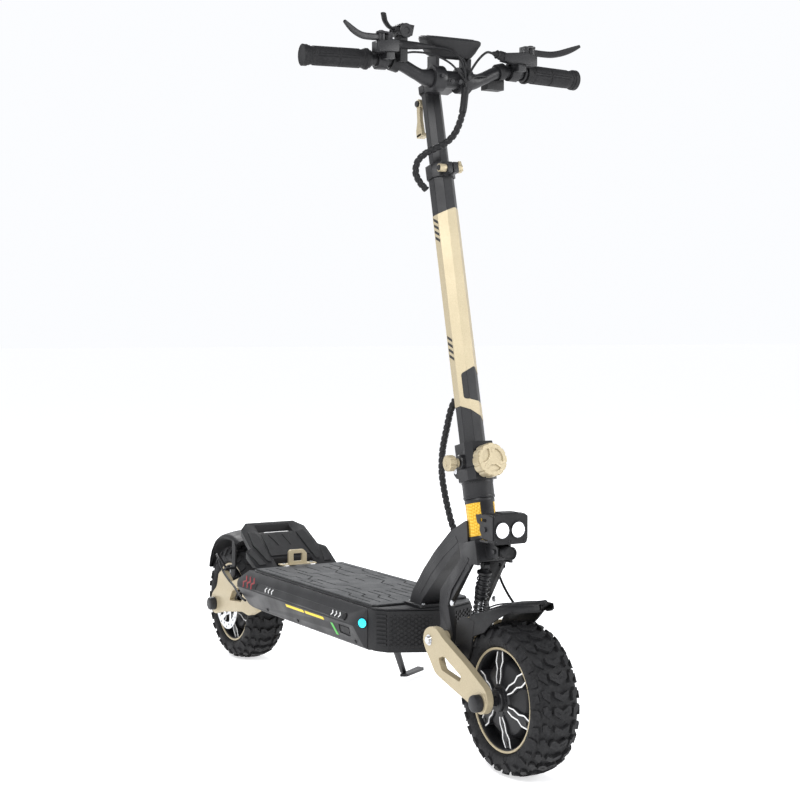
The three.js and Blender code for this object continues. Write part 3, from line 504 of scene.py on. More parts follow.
def piece(name, bm, body, look, replaced=(), edge=0.0, segments=2, sharp=32, matrix=None):
    """Turns a shape into a named object in metres, with its material, rounded edges and body."""
    if matrix is not None:
        bm.transform(matrix)
    bmesh.ops.recalc_face_normals(bm, faces=bm.faces)
    bmesh.ops.scale(bm, vec=(MM,) * 3, verts=bm.verts)
    mesh = bpy.data.meshes.new(name)
    bm.to_mesh(mesh)
    bm.free()
    mesh.shade_smooth()
    item = bpy.data.objects.new(name, mesh)
    bpy.context.scene.collection.objects.link(item)
    mesh.materials.append(LOOKS[look])
    if edge > 0:
        bevel = item.modifiers.new("edges", "BEVEL")
        bevel.width = edge * MM
        bevel.segments = segments
        bevel.limit_method = "ANGLE"
        bevel.angle_limit = math.radians(sharp)
        bevel.harden_normals = True
    else:
        mesh.set_sharp_from_angle(angle=math.radians(sharp))
    if replaced:
        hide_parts(*replaced)
    if body is not None:
        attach(item, body)
    return item


def cad_piece(name, node, body, look, edge, segments=3):
    """A piece with a CAD node's own shape and rounded edges."""
    return piece(name, cad_shape(node), body, look, [node], edge, segments)


def carve(item, *tools):
    """Cuts closed shapes (bmeshes in millimetres) out of a finished piece."""
    for tool in tools:
        bmesh.ops.recalc_face_normals(tool, faces=tool.faces)
        bmesh.ops.scale(tool, vec=(MM,) * 3, verts=tool.verts)
        mesh = bpy.data.meshes.new("tool")
        tool.to_mesh(mesh)
        tool.free()
        cutter = bpy.data.objects.new("tool", mesh)
        bpy.context.scene.collection.objects.link(cutter)
        cut = item.modifiers.new("cut", "BOOLEAN")
        cut.operation = "DIFFERENCE"
        cut.solver = "EXACT"
        cut.use_self = True
        cut.object = cutter
        item.modifiers.move(len(item.modifiers) - 1, 0)
        with bpy.context.temp_override(object=item, active_object=item, selected_objects=[item]):
            bpy.ops.object.modifier_apply(modifier="cut")
        bpy.data.objects.remove(cutter)
        bpy.data.meshes.remove(mesh)
    return item


def hex_bolt(bm, start, direction, size=4.5, height=3.5):
    """A socket-head screw: a round head with a hexagonal recess."""
    way = Vector(direction).normalized()
    origin = Vector(start)
    side, up = across(way)
    head = [(size, 0), (size, height * 0.8), (size * 0.88, height), (size * 0.55, height)]
    add_lathe(bm, head, origin, way, 24)
    low = origin + way * (height * 0.35)
    high = origin + way * (height + 0.02)
    angles = [TURN * i / 6 for i in range(6)]
    hexagon = [(side * math.cos(a) + up * math.sin(a)) * size * 0.55 for a in angles]
    skin(bm, [[high + point for point in hexagon], [low + point for point in hexagon], [low]], caps=False)


def ribbon(points, width):
    """The outline of a line with a width, with mitred corners."""
    line = [Vector(point) for point in points]
    left, right = [], []
    for i, point in enumerate(line):
        before = (point - line[i - 1]).normalized() if i else None
        after = (line[i + 1] - point).normalized() if i + 1 < len(line) else None
        way = ((before or after) + (after or before)).normalized()
        normal = Vector((-way.y, way.x))
        flat = before or after
        reach = width / 2 / max(0.4, normal.dot(Vector((-flat.y, flat.x))))
        left.append(tuple(point + normal * reach))
        right.append(tuple(point - normal * reach))
    return left + right[::-1]


# ---------------------------------------------------------------- wheels
HALF_TYRE = [
    (0, 120.9), (10, 120.7), (20, 119.8), (30, 117.2), (37, 113.0), (41, 106.8), (42, 99.5), (40, 92),
    (34, 87.5),
]
CROWN = [(p.x, p.y) for p in smooth_path([(x, r, 0) for x, r in HALF_TYRE], 1.5)]
TREAD_PITCHES = 28


def crown_point(across_tyre):
    """Half-width, radius and outward direction at a distance along the tyre's surface from its middle."""
    distance = abs(across_tyre)
    mirror = -1 if across_tyre < 0 else 1
    run = 0.0
    for (x0, r0), (x1, r1) in zip(CROWN, CROWN[1:]):
        length = math.hypot(x1 - x0, r1 - r0)
        if run + length >= distance:
            break
        run += length
    share = min((distance - run) / length, 1)
    normal = Vector((-(r1 - r0), x1 - x0)).normalized()
    return mirror * (x0 + (x1 - x0) * share), r0 + (r1 - r0) * share, mirror * normal.x, normal.y


def wheel_point(axle_y, angle, radius, sideways, x):
    """A point by its radius, the distance to the side of that radius, and x."""
    return Vector((
        x,
        axle_y + radius * math.cos(angle) - sideways * math.sin(angle),
        AXLE_Z + radius * math.sin(angle) + sideways * math.cos(angle),
    ))


def tyre_surface(axle_y, angle, a, b, height):
    """A point off the tyre's surface: across the tyre, along it, and outwards."""
    x, radius, out_x, out_r = crown_point(a)
    return wheel_point(axle_y, angle + b / TYRE_RADIUS, radius + out_r * height, 0, x + out_x * height)


def tread_block(bm, axle_y, angle, outline, height):
    """A rubber block on the tyre that narrows outwards; the outline is (across the tyre, along it)."""
    middle = Vector((0, 0))
    for point in outline:
        middle += Vector(point) / len(outline)
    rings = []
    for lift, shrink in ((-1.5, 0), (height, 0.8)):
        ring = []
        for point in outline:
            inward = middle - Vector(point)
            a, b = Vector(point) + inward.normalized() * min(shrink, inward.length * 0.3)
            ring.append(tyre_surface(axle_y, angle, a, b, lift))
        rings.append(ring)
    skin(bm, rings)


def tyre_carcass(prefix, axle_y):
    carcass = bmesh.new()
    outer = [(r, x) for x, r in CROWN]
    mirrored = [(r, -x) for r, x in reversed(outer[1:])]
    inner = [(86.5, 31), (92, 27), (112, 25), (112, -25), (92, -27), (86.5, -31)]
    add_lathe(carcass, [*mirrored, *outer, *inner], (0, axle_y, AXLE_Z), (1, 0, 0), 128, closed=True)
    piece(f"{prefix}_tyre_body", carcass, f"{prefix}_wheel", "tyre", [f"{prefix}_tyre"])


def tyre_tread(prefix, axle_y):
    large_chevron = symmetric([(0.01, 11.5), (17, 0.5), (17, -10), (11, -12), (0.01, -4.5)])
    small_chevron = symmetric([(0.01, 10), (14, 1.5), (14, -8.5), (0.01, -2)])
    lug = [(20.5, 9), (32, -1), (33.5, -12.5), (26.5, -14.5), (23.5, -8.5), (20, -7)]
    long_knob = [(35.5, 8), (39, 10), (49, 9.5), (52, 4.5), (51, -7.5), (40, -8.5), (36, -4)]
    short_knob = [(36, 6.5), (45, 8.5), (47, -4.5), (37.5, -7.5)]
    tread = bmesh.new()
    for i in range(TREAD_PITCHES):
        angle = TURN * i / TREAD_PITCHES
        even = i % 2 == 0
        tread_block(tread, axle_y, angle, large_chevron if even else small_chevron, 6.3)
        for side in (-1, 1):
            offset = angle + (0 if even else 0.012)
            knob = long_knob if even else short_knob
            tread_block(tread, axle_y, offset, [(side * a, b) for a, b in lug], 5.6)
            tread_block(tread, axle_y, offset, [(side * a, b) for a, b in knob], 4.0 if even else 4.6)
    piece(f"{prefix}_tread", tread, f"{prefix}_wheel", "tyre", edge=0.7, sharp=25)


def tyre_patch(bm, axle_y, angle, side, outline, low, high):
    """A flat shape laid on one side of the tyre."""
    add_mapped(bm, outline, low, high, lambda a, b, height: tyre_surface(axle_y, angle, side * a, b, height))


def tyre_lines(prefix, axle_y):
    """Zigzag lines on the tread blocks and rings on the sides."""
    turns = (0.3, 1.2, 2.1, 3.14, 4.2, 5.1, 6.0)
    ring = ribbon([(60 + 7 * math.cos(t), 8 * math.sin(t)) for t in turns], 0.9)
    zigzag = ribbon([(3.5, 1.5), (6, -1.5), (8.5, 0), (12, -4.5)], 0.9)
    sipes = bmesh.new()
    for i in range(0, TREAD_PITCHES, 2):
        angle = TURN * i / TREAD_PITCHES
        for side in (-1, 1):
            tyre_patch(sipes, axle_y, angle, side, zigzag, 5.4, 6.6)
            tyre_patch(sipes, axle_y, angle, side, ring, -0.5, 0.7)
    piece(f"{prefix}_tread_lines", sipes, f"{prefix}_wheel", "tyre", edge=0.2, segments=1)


HUB_HALF = [
    (8.6, 46), (16.5, 46), (18, 44.5), (18.6, 39), (24, 38), (26, 35.5), (54, 28.5), (59, 26), (62.5, 21),
    (65.5, 11.5), (70, 9.3), (77, 9.3), (79.4, 12), (80.2, 31), (81.4, 33.6), (84.4, 34), (85.3, 32),
]
SPOKES = 6


def spoke_top(radius):
    """How far out the spokes' faces are: they slope inwards towards the rim."""
    return 38.5 - (radius - 24) * 0.17


def hub(prefix, axle_y):
    """The hub motor's shell and rim, with six spokes a side, white trim on them, and bolts."""
    bm = bmesh.new()
    other = [(r, -x) for r, x in reversed(HUB_HALF)]
    add_lathe(bm, [*HUB_HALF, *other], (0, axle_y, AXLE_Z), (1, 0, 0), 96, closed=True)
    body = f"{prefix}_wheel"
    piece(f"{prefix}_rim", bm, body, "black_metal", [f"{prefix}_hub_motor"], edge=0.5, sharp=25)

    spokes, marks, bolts = bmesh.new(), bmesh.new(), bmesh.new()
    half_blade = [(22, 6), (40, 9.5), (56, 8), (64, 11.5), (79.5, 9)]
    blade = [*[(r, -w) for r, w in half_blade], *reversed(half_blade)]
    trim = [(27, 3.6), (38, 6.6), (52, 5.0), (63, 9.8), (79, 7.2)]
    for side in (-1, 1):
        for i in range(SPOKES):
            angle = TURN * (i + 0.35) / SPOKES
            foot = [wheel_point(axle_y, angle, r, w, side * 8) for r, w in blade]
            top = [wheel_point(axle_y, angle, r, w, side * spoke_top(r)) for r, w in blade]
            skin(spokes, [foot, top])
            for edge in (-1, 1):
                line = ribbon([(r, edge * w) for r, w in trim], 2.3)
                place = lambda r, w, h: wheel_point(axle_y, angle, r, w, side * (spoke_top(r) + h))
                add_mapped(marks, line, -0.3, 0.35, place)
            seat = wheel_point(axle_y, angle, 71, 0, side * (spoke_top(71) - 0.2))
            hex_bolt(bolts, seat, (side, 0, 0), 3.4, 2.2)
        for i in range(6):
            angle = TURN * i / 6
            hex_bolt(bolts, wheel_point(axle_y, angle, 21.4, 0, side * 38.2), (side, 0, 0), 2.0, 1.6)
    piece(f"{prefix}_hub_spokes", spokes, body, "black_metal", edge=1.2, segments=3)
    piece(f"{prefix}_hub_marks", marks, body, "white_mark")
    piece(f"{prefix}_hub_bolts", bolts, body, "black_metal", sharp=40)


def rim_bands(prefix, axle_y):
    band = [(83.0, 33.4), (83.0, 35.2), (84.0, 36.0), (86.4, 36.0), (87.0, 35.2), (87.0, 33.4)]
    bm = bmesh.new()
    for side in (-1, 1):
        add_lathe(bm, [(r, side * x) for r, x in band], (0, axle_y, AXLE_Z), (1, 0, 0), 128, closed=True)
    piece(f"{prefix}_rim_band", bm, f"{prefix}_wheel", "gold_paint", sharp=50)


def rotor(prefix, axle_y, side):
    """A floating disc: a holed brake track on curved arms round a bolted centre."""
    outline = circle(axle_y, AXLE_Z, 60, 96)
    holes = [circle(axle_y, AXLE_Z, 19, 48)]
    for i in range(24):
        angle = TURN * i / 24
        centre = polar(50 if i % 2 else 55, angle, axle_y, AXLE_Z)
        holes.append(circle(*centre, 2.2, 10))
    for i in range(6):
        start = TURN * i / 6
        outer = [(44.5, start + 0.16 + 0.78 * k / 6) for k in range(7)]
        inner = [(28.5, start - 0.14 + 0.62 * k / 4) for k in range(4, -1, -1)]
        window = [polar(r, a, axle_y, AXLE_Z) for r, a in outer + inner]
        holes.append(rounded(window, 2.5, 2))
    bm = bmesh.new()
    low, high = sorted((side * 47.4, side * 49.2))
    add_plate(bm, outline, holes, "x", low, high)
    body = f"{prefix}_wheel"
    piece(f"{prefix}_rotor_disc", bm, body, "steel", [f"{prefix}_brake_rotor"], edge=0.25, segments=1)
    bolts = bmesh.new()
    for i in range(6):
        angle = TURN * (i + 0.5) / 6
        hex_bolt(bolts, wheel_point(axle_y, angle, 23.5, 0, side * 49.1), (side, 0, 0), 3.2, 2.4)
    piece(f"{prefix}_rotor_bolts", bolts, body, "steel", sharp=40)


def axle(prefix, axle_y):
    bm = bmesh.new()
    half = [(8, 77.8), (13.6, 77.8), (14.5, 78.6), (14.5, 88.0), (13.4, 90.8), (11, 92), (0, 92)]
    other = [(r, -x) for r, x in reversed(half)]
    add_lathe(bm, [*other, *half], (0, axle_y, AXLE_Z), (1, 0, 0), 48)
    piece(f"{prefix}_axle_shaft", bm, f"{prefix}_arm", "black_metal", [f"{prefix}_axle"], sharp=40)


def make_wheels():
    for prefix, axle_y, rotor_side in (("front", FRONT_AXLE_Y, 1), ("rear", REAR_AXLE_Y, -1)):
        tyre_carcass(prefix, axle_y)
        tyre_tread(prefix, axle_y)
        tyre_lines(prefix, axle_y)
        hub(prefix, axle_y)
        rim_bands(prefix, axle_y)
        rotor(prefix, axle_y, rotor_side)
        axle(prefix, axle_y)


# ---------------------------------------------------------------- swing arms and shocks
ARM_X = (64, 77)
FRONT_PIVOT = (-388, 204)
REAR_PIVOT = (340, 178)
FRONT_ARM = [
    (-372, 190), (-366, 203), (-372, 219), (-388, 228), (-412, 228), (-431, 215), (-505, 183), (-566, 152),
    (-574, 134), (-568, 116), (-552, 107), (-529, 117), (-446, 139), (-408, 150),
]
FRONT_WINDOW = [(-418, 178), (-436, 184), (-492, 160), (-488, 150), (-428, 160)]
REAR_ARM = [
    (322, 145), (318, 178), (330, 198), (350, 206), (392, 211), (470, 184), (503, 207), (528, 200),
    (538, 168), (566, 148), (574, 126), (566, 108), (548, 104), (520, 113), (402, 131), (368, 127),
]
REAR_WINDOW = [(396, 190), (455, 168), (470, 146), (404, 152)]


def swing_arm(prefix, outline, window, pivot, axle_y, lug):
    body = f"{prefix}_arm"
    bm = bmesh.new()
    for side in (-1, 1):
        low, high = sorted((side * ARM_X[0], side * ARM_X[1]))
        add_plate(bm, rounded(outline, 9), [rounded(window, 5)], "x", low, high)
        add_rod(bm, (side * 76, axle_y, AXLE_Z), (side * 77.6, axle_y, AXLE_Z), 18.5, 48)
    add_rod(bm, (-ARM_X[0] - 4, *pivot), (ARM_X[0] + 4, *pivot), 13, 40)
    for x in (-12, 7):
        add_prism(bm, rounded(lug, 4), "x", x, x + 5)
    piece(f"{prefix}_arm_casting", bm, body, "gold_paint", [f"{prefix}_swing_arm"], edge=2.4, segments=3)
    bolts = bmesh.new()
    for side in (-1, 1):
        add_rod(bolts, (side * 76.5, *pivot), (side * 78, *pivot), 9.5, 40)
        hex_bolt(bolts, (side * 78, *pivot), (side, 0, 0), 6.6, 4.2)
    piece(f"{prefix}_arm_bolts", bolts, body, "steel", sharp=40)


def spring_and_damper(prefix, top, bottom):
    """Cylinder above, rod below, and a coil round both."""
    up = Vector((0, top[0] - bottom[0], top[1] - bottom[1]))
    length = up.length
    up.normalize()
    foot = Vector((0, *bottom))
    mouth = 0.42 * length
    cylinder = bmesh.new()
    body = [(5.6, mouth), (8.4, mouth), (8.8, mouth + 1.5), (8.8, length - 15)]
    seat = [(13, length - 14), (13, length - 10), (9.5, length - 8.5), (7, length - 5)]
    add_lathe(cylinder, [*body, *seat], foot, up, 32)
    add_rod(cylinder, (-6, *top), (6, *top), 7, 32)
    upper = f"{prefix}_shock_upper"
    piece(f"{prefix}_damper_body", cylinder, upper, "black_metal", [f"{prefix}_shock_cylinder"], edge=0.5)

    shaft = bmesh.new()
    profile = [(7, 5), (9, 12), (13, 14), (13, 17), (5, 17.4), (5, mouth + 10)]
    add_lathe(shaft, profile, foot, up, 32)
    add_rod(shaft, (-6, *bottom), (6, *bottom), 7, 32)
    lower = f"{prefix}_shock_lower"
    piece(f"{prefix}_damper_shaft", shaft, lower, "steel", [f"{prefix}_shock_rod"], edge=0.5)

    coil = bmesh.new()
    start, end = 18.8, length - 15.8
    turns = max(4, round((end - start) / 8.5))
    side, front = across(up)
    path = []
    for k in range(turns * 20 + 1):
        angle = TURN * k / 20
        height = start + (end - start) * k / (turns * 20)
        path.append(foot + up * height + (side * math.cos(angle) + front * math.sin(angle)) * 11.1)
    add_tube(coil, path, 1.4, 10)
    spring = piece(f"{prefix}_coil", coil, upper, "black_metal", [f"{prefix}_spring"], sharp=60)
    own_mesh(spring)


def caliper(prefix, axle_y, degrees, side):
    arm = f"{prefix}_arm"
    cad_piece(f"{prefix}_caliper_body", f"{prefix}_caliper", arm, "black_metal", 1.6)
    angle = math.radians(degrees)
    centre = wheel_point(axle_y, angle, 59.5, 0, side * 40)
    details = bmesh.new()
    add_rod(details, centre - Vector((side * 4, 0, 0)), centre + Vector((side * 1, 0, 0)), 9, 32)
    for sideways in (-9, 9):
        place = wheel_point(axle_y, angle, 66, sideways, side * 38.6)
        hex_bolt(details, place, (-side, 0, 0), 3, 3)
    piece(f"{prefix}_caliper_bolts", details, arm, "steel", edge=0.6)


def make_running_gear():
    front_lug = [(-396, 196), (-378, 212), (-410, 242), (-424, 243), (-435, 234), (-434, 224), (-410, 200)]
    rear_lug = [(330, 190), (350, 172), (398, 186), (408, 196), (398, 206), (380, 202)]
    swing_arm("front", FRONT_ARM, FRONT_WINDOW, FRONT_PIVOT, FRONT_AXLE_Y, front_lug)
    swing_arm("rear", REAR_ARM, REAR_WINDOW, REAR_PIVOT, REAR_AXLE_Y, rear_lug)
    spring_and_damper("front", (-446, 334), (-424, 232))
    spring_and_damper("rear", (368, 262), (398, 196))
    caliper("front", FRONT_AXLE_Y, 35, 1)
    caliper("rear", REAR_AXLE_Y, 125, -1)


# ---------------------------------------------------------------- fenders
def shell(profile, section, thickness):
    """A thin shell: a cross-section (x, height) carried along a side profile (y, z)."""
    path = smooth_path([(0, *point) for point in profile], 6)
    rings = []
    for i, point in enumerate(path):
        way = (path[min(i + 1, len(path) - 1)] - path[max(i - 1, 0)]).normalized()
        normal = Vector((0, -way.z, way.y))
        share = i / (len(path) - 1)
        outer = [point + Vector((x, 0, 0)) + normal * h for x, h in section(share)]
        inner = [point + Vector((x, 0, 0)) + normal * h for x, h in reversed(section(share, thickness))]
        rings.append([*outer, *inner])
    bm = bmesh.new()
    skin(bm, rings)
    return bm


def arch(half_width, crown, skirt, inset=0.0):
    """Half an arch-shaped cross-section and its mirror: the crown is rounded and the skirts hang straight."""
    width = half_width - inset
    half = []
    for k in range(8):
        angle = (math.pi / 2) * k / 7
        x = (width - 10) * k / 7
        half.append((x, crown * math.cos(angle) - inset))
    for k in range(1, 5):
        angle = (math.pi / 2) * k / 4
        half.append((width - 10 + 10 * math.sin(angle), -10 + 10 * math.cos(angle) - inset))
    half.append((width, -skirt))
    return [*[(-x, h) for x, h in reversed(half)], *half[1:]]


def front_fender():
    profile = [(-628, 297), (-612, 293), (-580, 288), (-545, 281), (-510, 271), (-478, 260), (-453, 249)]

    def section(share, inset=0.0):
        # A pointed tip that widens and deepens towards the back.
        wide = 47 * (1 - max(0, 1 - share / 0.6) ** 2)
        deep = 1 + 35 * min(share / 0.7, 1) ** 1.5
        return arch(max(14, wide), 6, deep, inset)

    bm = shell(profile, section, 2.6)
    stay = [(-486, 250), (-446, 252), (-430, 236), (-426, 200), (-430, 178), (-462, 172), (-476, 200)]
    for side in (-1, 1):
        add_slab(bm, rounded(stay, 5), side, 44.2, 47.4)
        add_slab(bm, rectangle((-440, -428), (186, 200)), side, 44, 63.7)
    piece("front_mudguard", bm, "front_arm", "black_plastic", ["front_fender"], edge=0.8)
    rib = bmesh.new()
    line = [(-34, -506, 273), (-18, -506, 277), (0, -506, 278), (18, -506, 277), (34, -506, 273)]
    add_tube(rib, smooth_path(line, 4), 1.4, 10)
    piece("front_mudguard_rib", rib, "front_arm", "black_plastic")


def rear_fender():
    angles = [math.radians(112 - 88 * k / 12) for k in range(13)]
    profile = [polar(145, angle, REAR_AXLE_Y, AXLE_Z + 8) for angle in angles]

    def section(share, inset=0.0):
        narrow = 46 - 9 * max(0, share - 0.6) / 0.4
        return arch(narrow, 6, 9 - 3 * share, inset)

    bm = shell(profile, section, 2.6)
    stay = [(503, 190), (520, 190), (518, 270), (501, 262)]
    for side in (-1, 1):
        add_slab(bm, rounded(stay, 5), side, 45, 48.5)
        add_slab(bm, rectangle((503, 513), (207.5, 212)), side, 46, 70)
    piece("rear_mudguard", bm, "rear_arm", "black_plastic", ["rear_fender"], edge=0.8)


# ---------------------------------------------------------------- deck
DECK_SHOULDER = Vector((103, 235))
DECK_RIDGE = Vector((120, 200))
DECK_FOOT = Vector((108, 163))


def side_facet(side, top, bottom):
    """Gives the points of a facet of the deck's side: along the deck, down the facet, and off it."""
    slope = (bottom - top).normalized()
    normal = Vector((-slope.y, slope.x))

    def place(y, down, height):
        point = top + slope * down + normal * height
        return Vector((side * point.x, y, point.y))

    return place


def upper_facet(side):
    return side_facet(side, DECK_SHOULDER, DECK_RIDGE)


def lower_facet(side):
    return side_facet(side, DECK_RIDGE, DECK_FOOT)


def chevron(y, down, size, direction):
    """The corner points of a V that points along the deck."""
    return [(y - direction * size, down - size), (y, down), (y - direction * size, down + size)]


def deck_tub():
    """The tub, with a long slot in each side's upper facet and a port in the lower one."""
    tub = cad_piece("deck_case", "deck_tub", "frame", "black_metal", 1.4)
    slot = rounded(rectangle((-158, 246), (20, 35)), 7, 5)
    port = rounded([(-170, 6), (-128, 6), (-124, 24), (-166, 26)], 4)
    cutters = bmesh.new()
    for side in (-1, 1):
        add_mapped(cutters, slot, -1.4, 3, upper_facet(side))
        add_mapped(cutters, port, -2.2, 3, lower_facet(side))
    carve(tub, cutters)


def deck_side_marks():
    """Arrows and tail marks in the slots, with a cap in each slot and a plug in each port."""
    marks, red, caps = bmesh.new(), bmesh.new(), bmesh.new()
    plug = rounded([(-166, 9), (-131, 9), (-128, 21), (-162, 23)], 4)
    for side in (-1, 1):
        upper = upper_facet(side)
        for k in range(3):
            for y, direction in ((-128 + 15 * k, -1), (172 + 15 * k, 1)):
                add_mapped(marks, ribbon(chevron(y, 27.5, 4.8, direction), 2.6), -1.5, -0.9, upper)
            tick = [(268 + 19 * k, 12), (259 + 19 * k, 22), (270 + 19 * k, 26), (262 + 19 * k, 36)]
            add_mapped(red, ribbon(tick, 4.2), -0.4, 0.5, upper)
        seat = upper(-146, 27.5, -1.8)
        way = upper(-146, 27.5, 1) - upper(-146, 27.5, 0)
        add_lathe(caps, [(6.4, 0), (6.4, 2.2), (5.4, 3.2), (0, 3.2)], seat, way, 32)
        add_mapped(caps, plug, -2.6, -1.0, lower_facet(side))
    piece("deck_side_marks", marks, "frame", "white_mark")
    piece("deck_tail_lamps", red, "frame", "lamp_red", edge=0.4)
    piece("deck_side_caps", caps, "frame", "black_plastic", edge=0.5)


def deck_stripes():
    """Plain bars on the right side, in place of the printed label."""
    stripes, badge = bmesh.new(), bmesh.new()
    lower = lower_facet(-1)
    for y in (-67, 18):
        add_mapped(stripes, [(y, 3), (y + 78, 3), (y + 76, 8.5), (y - 2, 8.5)], -0.1, 0.35, lower)
    add_mapped(badge, [(-103, 9), (-94, 9), (-107, 31), (-116, 31)], -0.1, 0.35, lower)
    piece("deck_side_stripes", stripes, "frame", "yellow_mark")
    piece("deck_side_badge", badge, "frame", "green_mark")


def deck_lamps():
    lamps, bezels, bolts = bmesh.new(), bmesh.new(), bmesh.new()
    for side in (-1, 1):
        out = Vector((side * 0.866, -0.5, 0))
        seat = Vector((side * 109.5, -206.5, 207))
        add_lathe(bezels, [(10.5, -2), (10.5, 1.2), (9.2, 2.2), (8.2, 1.0)], seat, out, 40)
        add_lathe(lamps, [(8.2, -1), (8.2, 1.4), (6, 2.4), (0, 2.8)], seat, out, 40)
        for y in (-180, 60, 200):
            hex_bolt(bolts, lower_facet(side)(y, 33, -0.3), (side * 37, 0, -12), 3.4, 2)
    piece("deck_lamp_bezels", bezels, "frame", "black_plastic")
    piece("deck_lamps", lamps, "frame", "lamp_cyan")
    piece("deck_side_bolts", bolts, "frame", "black_metal", sharp=40)


# The mat's grooves on the +X side, as (x, y) lines; the -X side mirrors them.
MAT_LINES = [
    [(62, 262), (62, 205), (48, 188), (48, 120), (70, 96), (70, 30)],
    [(86, 262), (86, 150), (76, 138), (76, 112)],
    [(34, 236), (34, 168), (20, 150), (20, 92)],
    [(88, 96), (88, -20), (74, -38), (74, -96), (88, -112), (88, -196)],
    [(54, 84), (54, 6), (36, -14), (36, -66)],
    [(56, -40), (56, -118), (72, -134), (72, -206)],
    [(36, -92), (36, -140), (52, -160), (52, -212)],
    [(18, 62), (18, 20)],
    [(20, -84), (20, -150), (34, -168), (34, -200)],
    [(0, 250), (0, 176)],
    [(0, -96), (0, -206)],
    [(70, 72), (84, 60)],
    [(50, 222), (34, 212)],
]


def deck_top():
    cad_piece("deck_cover", "deck_lid", "frame", "black_metal", 0.9, 2)
    # A black rubber slab under the grey tread. The grooves cut right through the tread, so this slab shows at
    # their floors as painted shade.
    base = bmesh.new()
    half_shade_base = [(101, 276), (101, -225), (90, -234), (36, -234), (36, -224)]
    add_prism(base, symmetric(half_shade_base), "z", 238.8, 241.0)
    piece("deck_mat_base_painted_shade", base, "frame", "rubber", ["deck_mat"], edge=0.5)
    top = bmesh.new()
    half_top = [(99.5, 274.5), (99.5, -224), (89.5, -232), (37, -232), (37, -222.5)]
    add_prism(top, symmetric(half_top), "z", 240.8, 242.5)
    mat = piece("deck_mat_tread", top, "frame", "deck_mat", edge=0.5)
    grooves = bmesh.new()
    for line in MAT_LINES:
        # A line down the middle is its own mirror image.
        middle = all(x == 0 for x, y in line)
        for side in (1,) if middle else (-1, 1):
            add_prism(grooves, ribbon([(side * x, y) for x, y in line], 3.2), "z", 239, 244)
    carve(mat, grooves)


def nose_face(side, start, end):
    """Gives the points of an upright face of the nose: along it, its z, and off it."""
    start, end = Vector(start), Vector(end)
    along = (end - start).normalized()
    out = Vector((abs(along.y), -abs(along.x)))

    def place(a, z, height):
        point = start + along * a + out * height
        return Vector((side * point.x, point.y, z))

    return place


def nose():
    cad_piece("deck_nose_case", "deck_nose", "frame", "black_plastic", 1.6)
    cells, ribs = bmesh.new(), bmesh.new()
    for side in (-1, 1):
        front = nose_face(side, (88, -262), (12, -300))
        cheek = nose_face(side, (100, -240), (88, -262))
        for column in range(12):
            for row in range(7):
                z = 172 + row * 8.2 + (4.1 if column % 2 else 0)
                if z <= 228:
                    add_mapped(cells, circle(6 + column * 6.4, z, 3.1, 6), -0.4, 2.0, front)
        for row in range(8):
            z = 172 + row * 7.4
            add_mapped(ribs, rectangle((1, 23), (z, z + 4.0)), -0.4, 2.0, cheek)
    piece("nose_honeycomb", cells, "frame", "black_plastic", edge=0.5, segments=1)
    piece("nose_ribs", ribs, "frame", "black_plastic", edge=0.5)


def rest_point(x, up, height):
    """A point on the footrest's sloping face."""
    return Vector((x, 286 + 0.8730 * up - 0.4877 * height, 239.8 + 0.4877 * up + 0.8730 * height))


FOOTREST_HALF = 95


def footrest():
    body = cad_shape("footrest")
    for vert in body.verts:
        if abs(vert.co.x) > FOOTREST_HALF:
            vert.co.x = math.copysign(FOOTREST_HALF, vert.co.x)
    item = piece("footrest_body", body, "frame", "black_plastic", ["footrest"], edge=2.6, segments=3)
    item.modifiers["edges"].angle_limit = math.radians(18)
    panels = bmesh.new()
    add_mapped(panels, [(-46, 38), (-38, 116), (38, 116), (46, 38)], -1.0, 1.8, rest_point)
    for side in (-1, 1):
        wing = [(side * 52, 20), (side * 45, 118), (side * 66, 126), (side * 72, 78), (side * 60, 20)]
        add_mapped(panels, wing, -1.0, 2.0, rest_point)
        tip = [(side * 68, 10), (side * 80, 66), (side * 92, 52), (side * 84, 10)]
        add_mapped(panels, tip, -1.0, 1.8, rest_point)
        crease = [(side * 8, 112), (side * 24, 112), (side * 14, 70)]
        add_mapped(panels, crease, 0.6, 2.9, rest_point)
    piece("footrest_panels", panels, "frame", "black_plastic", edge=0.9)


def latch_loop():
    bm = bmesh.new()
    outline = [(-21, 243.5), (-21, 270), (-17.5, 274.5), (13, 274.5), (21, 266), (21, 243.5)]
    eye = rounded(rectangle((-10, 10), (250, 266.5)), 2)
    add_plate(bm, rounded(outline, 2), [eye], "y", 284, 291)
    add_prism(bm, rounded(rectangle((-40, 42), (278.5, 299.5)), 3), "z", 242.8, 245.3)
    piece("latch_loop_plate", bm, "frame", "gold_paint", ["latch_loop"], edge=0.8)
    bolts = bmesh.new()
    for x in (-31, 32):
        hex_bolt(bolts, (x, 287, 245.3), (0, 0, 1), 3.4, 2)
    piece("latch_loop_bolts", bolts, "frame", "steel", sharp=40)


def stand():
    """The kickstand: a leg from its pivot to a pad, cut off flat above the floor."""
    bm = bmesh.new()
    pivot, foot = Vector((96, 70, 149)), Vector((188, 166, 17))
    path = [pivot.lerp(foot, k / 16) for k in range(17)]
    add_tube(bm, path, lambda run, angle: 7.6 - run * 0.012 + 1.4 * math.cos(2 * angle), 20)
    bmesh.ops.create_uvsphere(bm, u_segments=32, v_segments=20, radius=8.5, matrix=Matrix.Translation(pivot))
    pad = rounded([(172, 154), (186, 146), (252, 186), (246, 204)], 5)
    add_prism(bm, pad, "z", 10, 15.5)
    item = piece("stand_leg", bm, "kickstand", "black_metal", ["kickstand"], edge=1.0)
    floor = bmesh.new()
    add_box(floor, (120, 300), (100, 300), (-30, 10))
    carve(item, floor)


# ---------------------------------------------------------------- neck, fork and lights
def on_axis(along):
    return STEM @ Vector((0, 0, along))


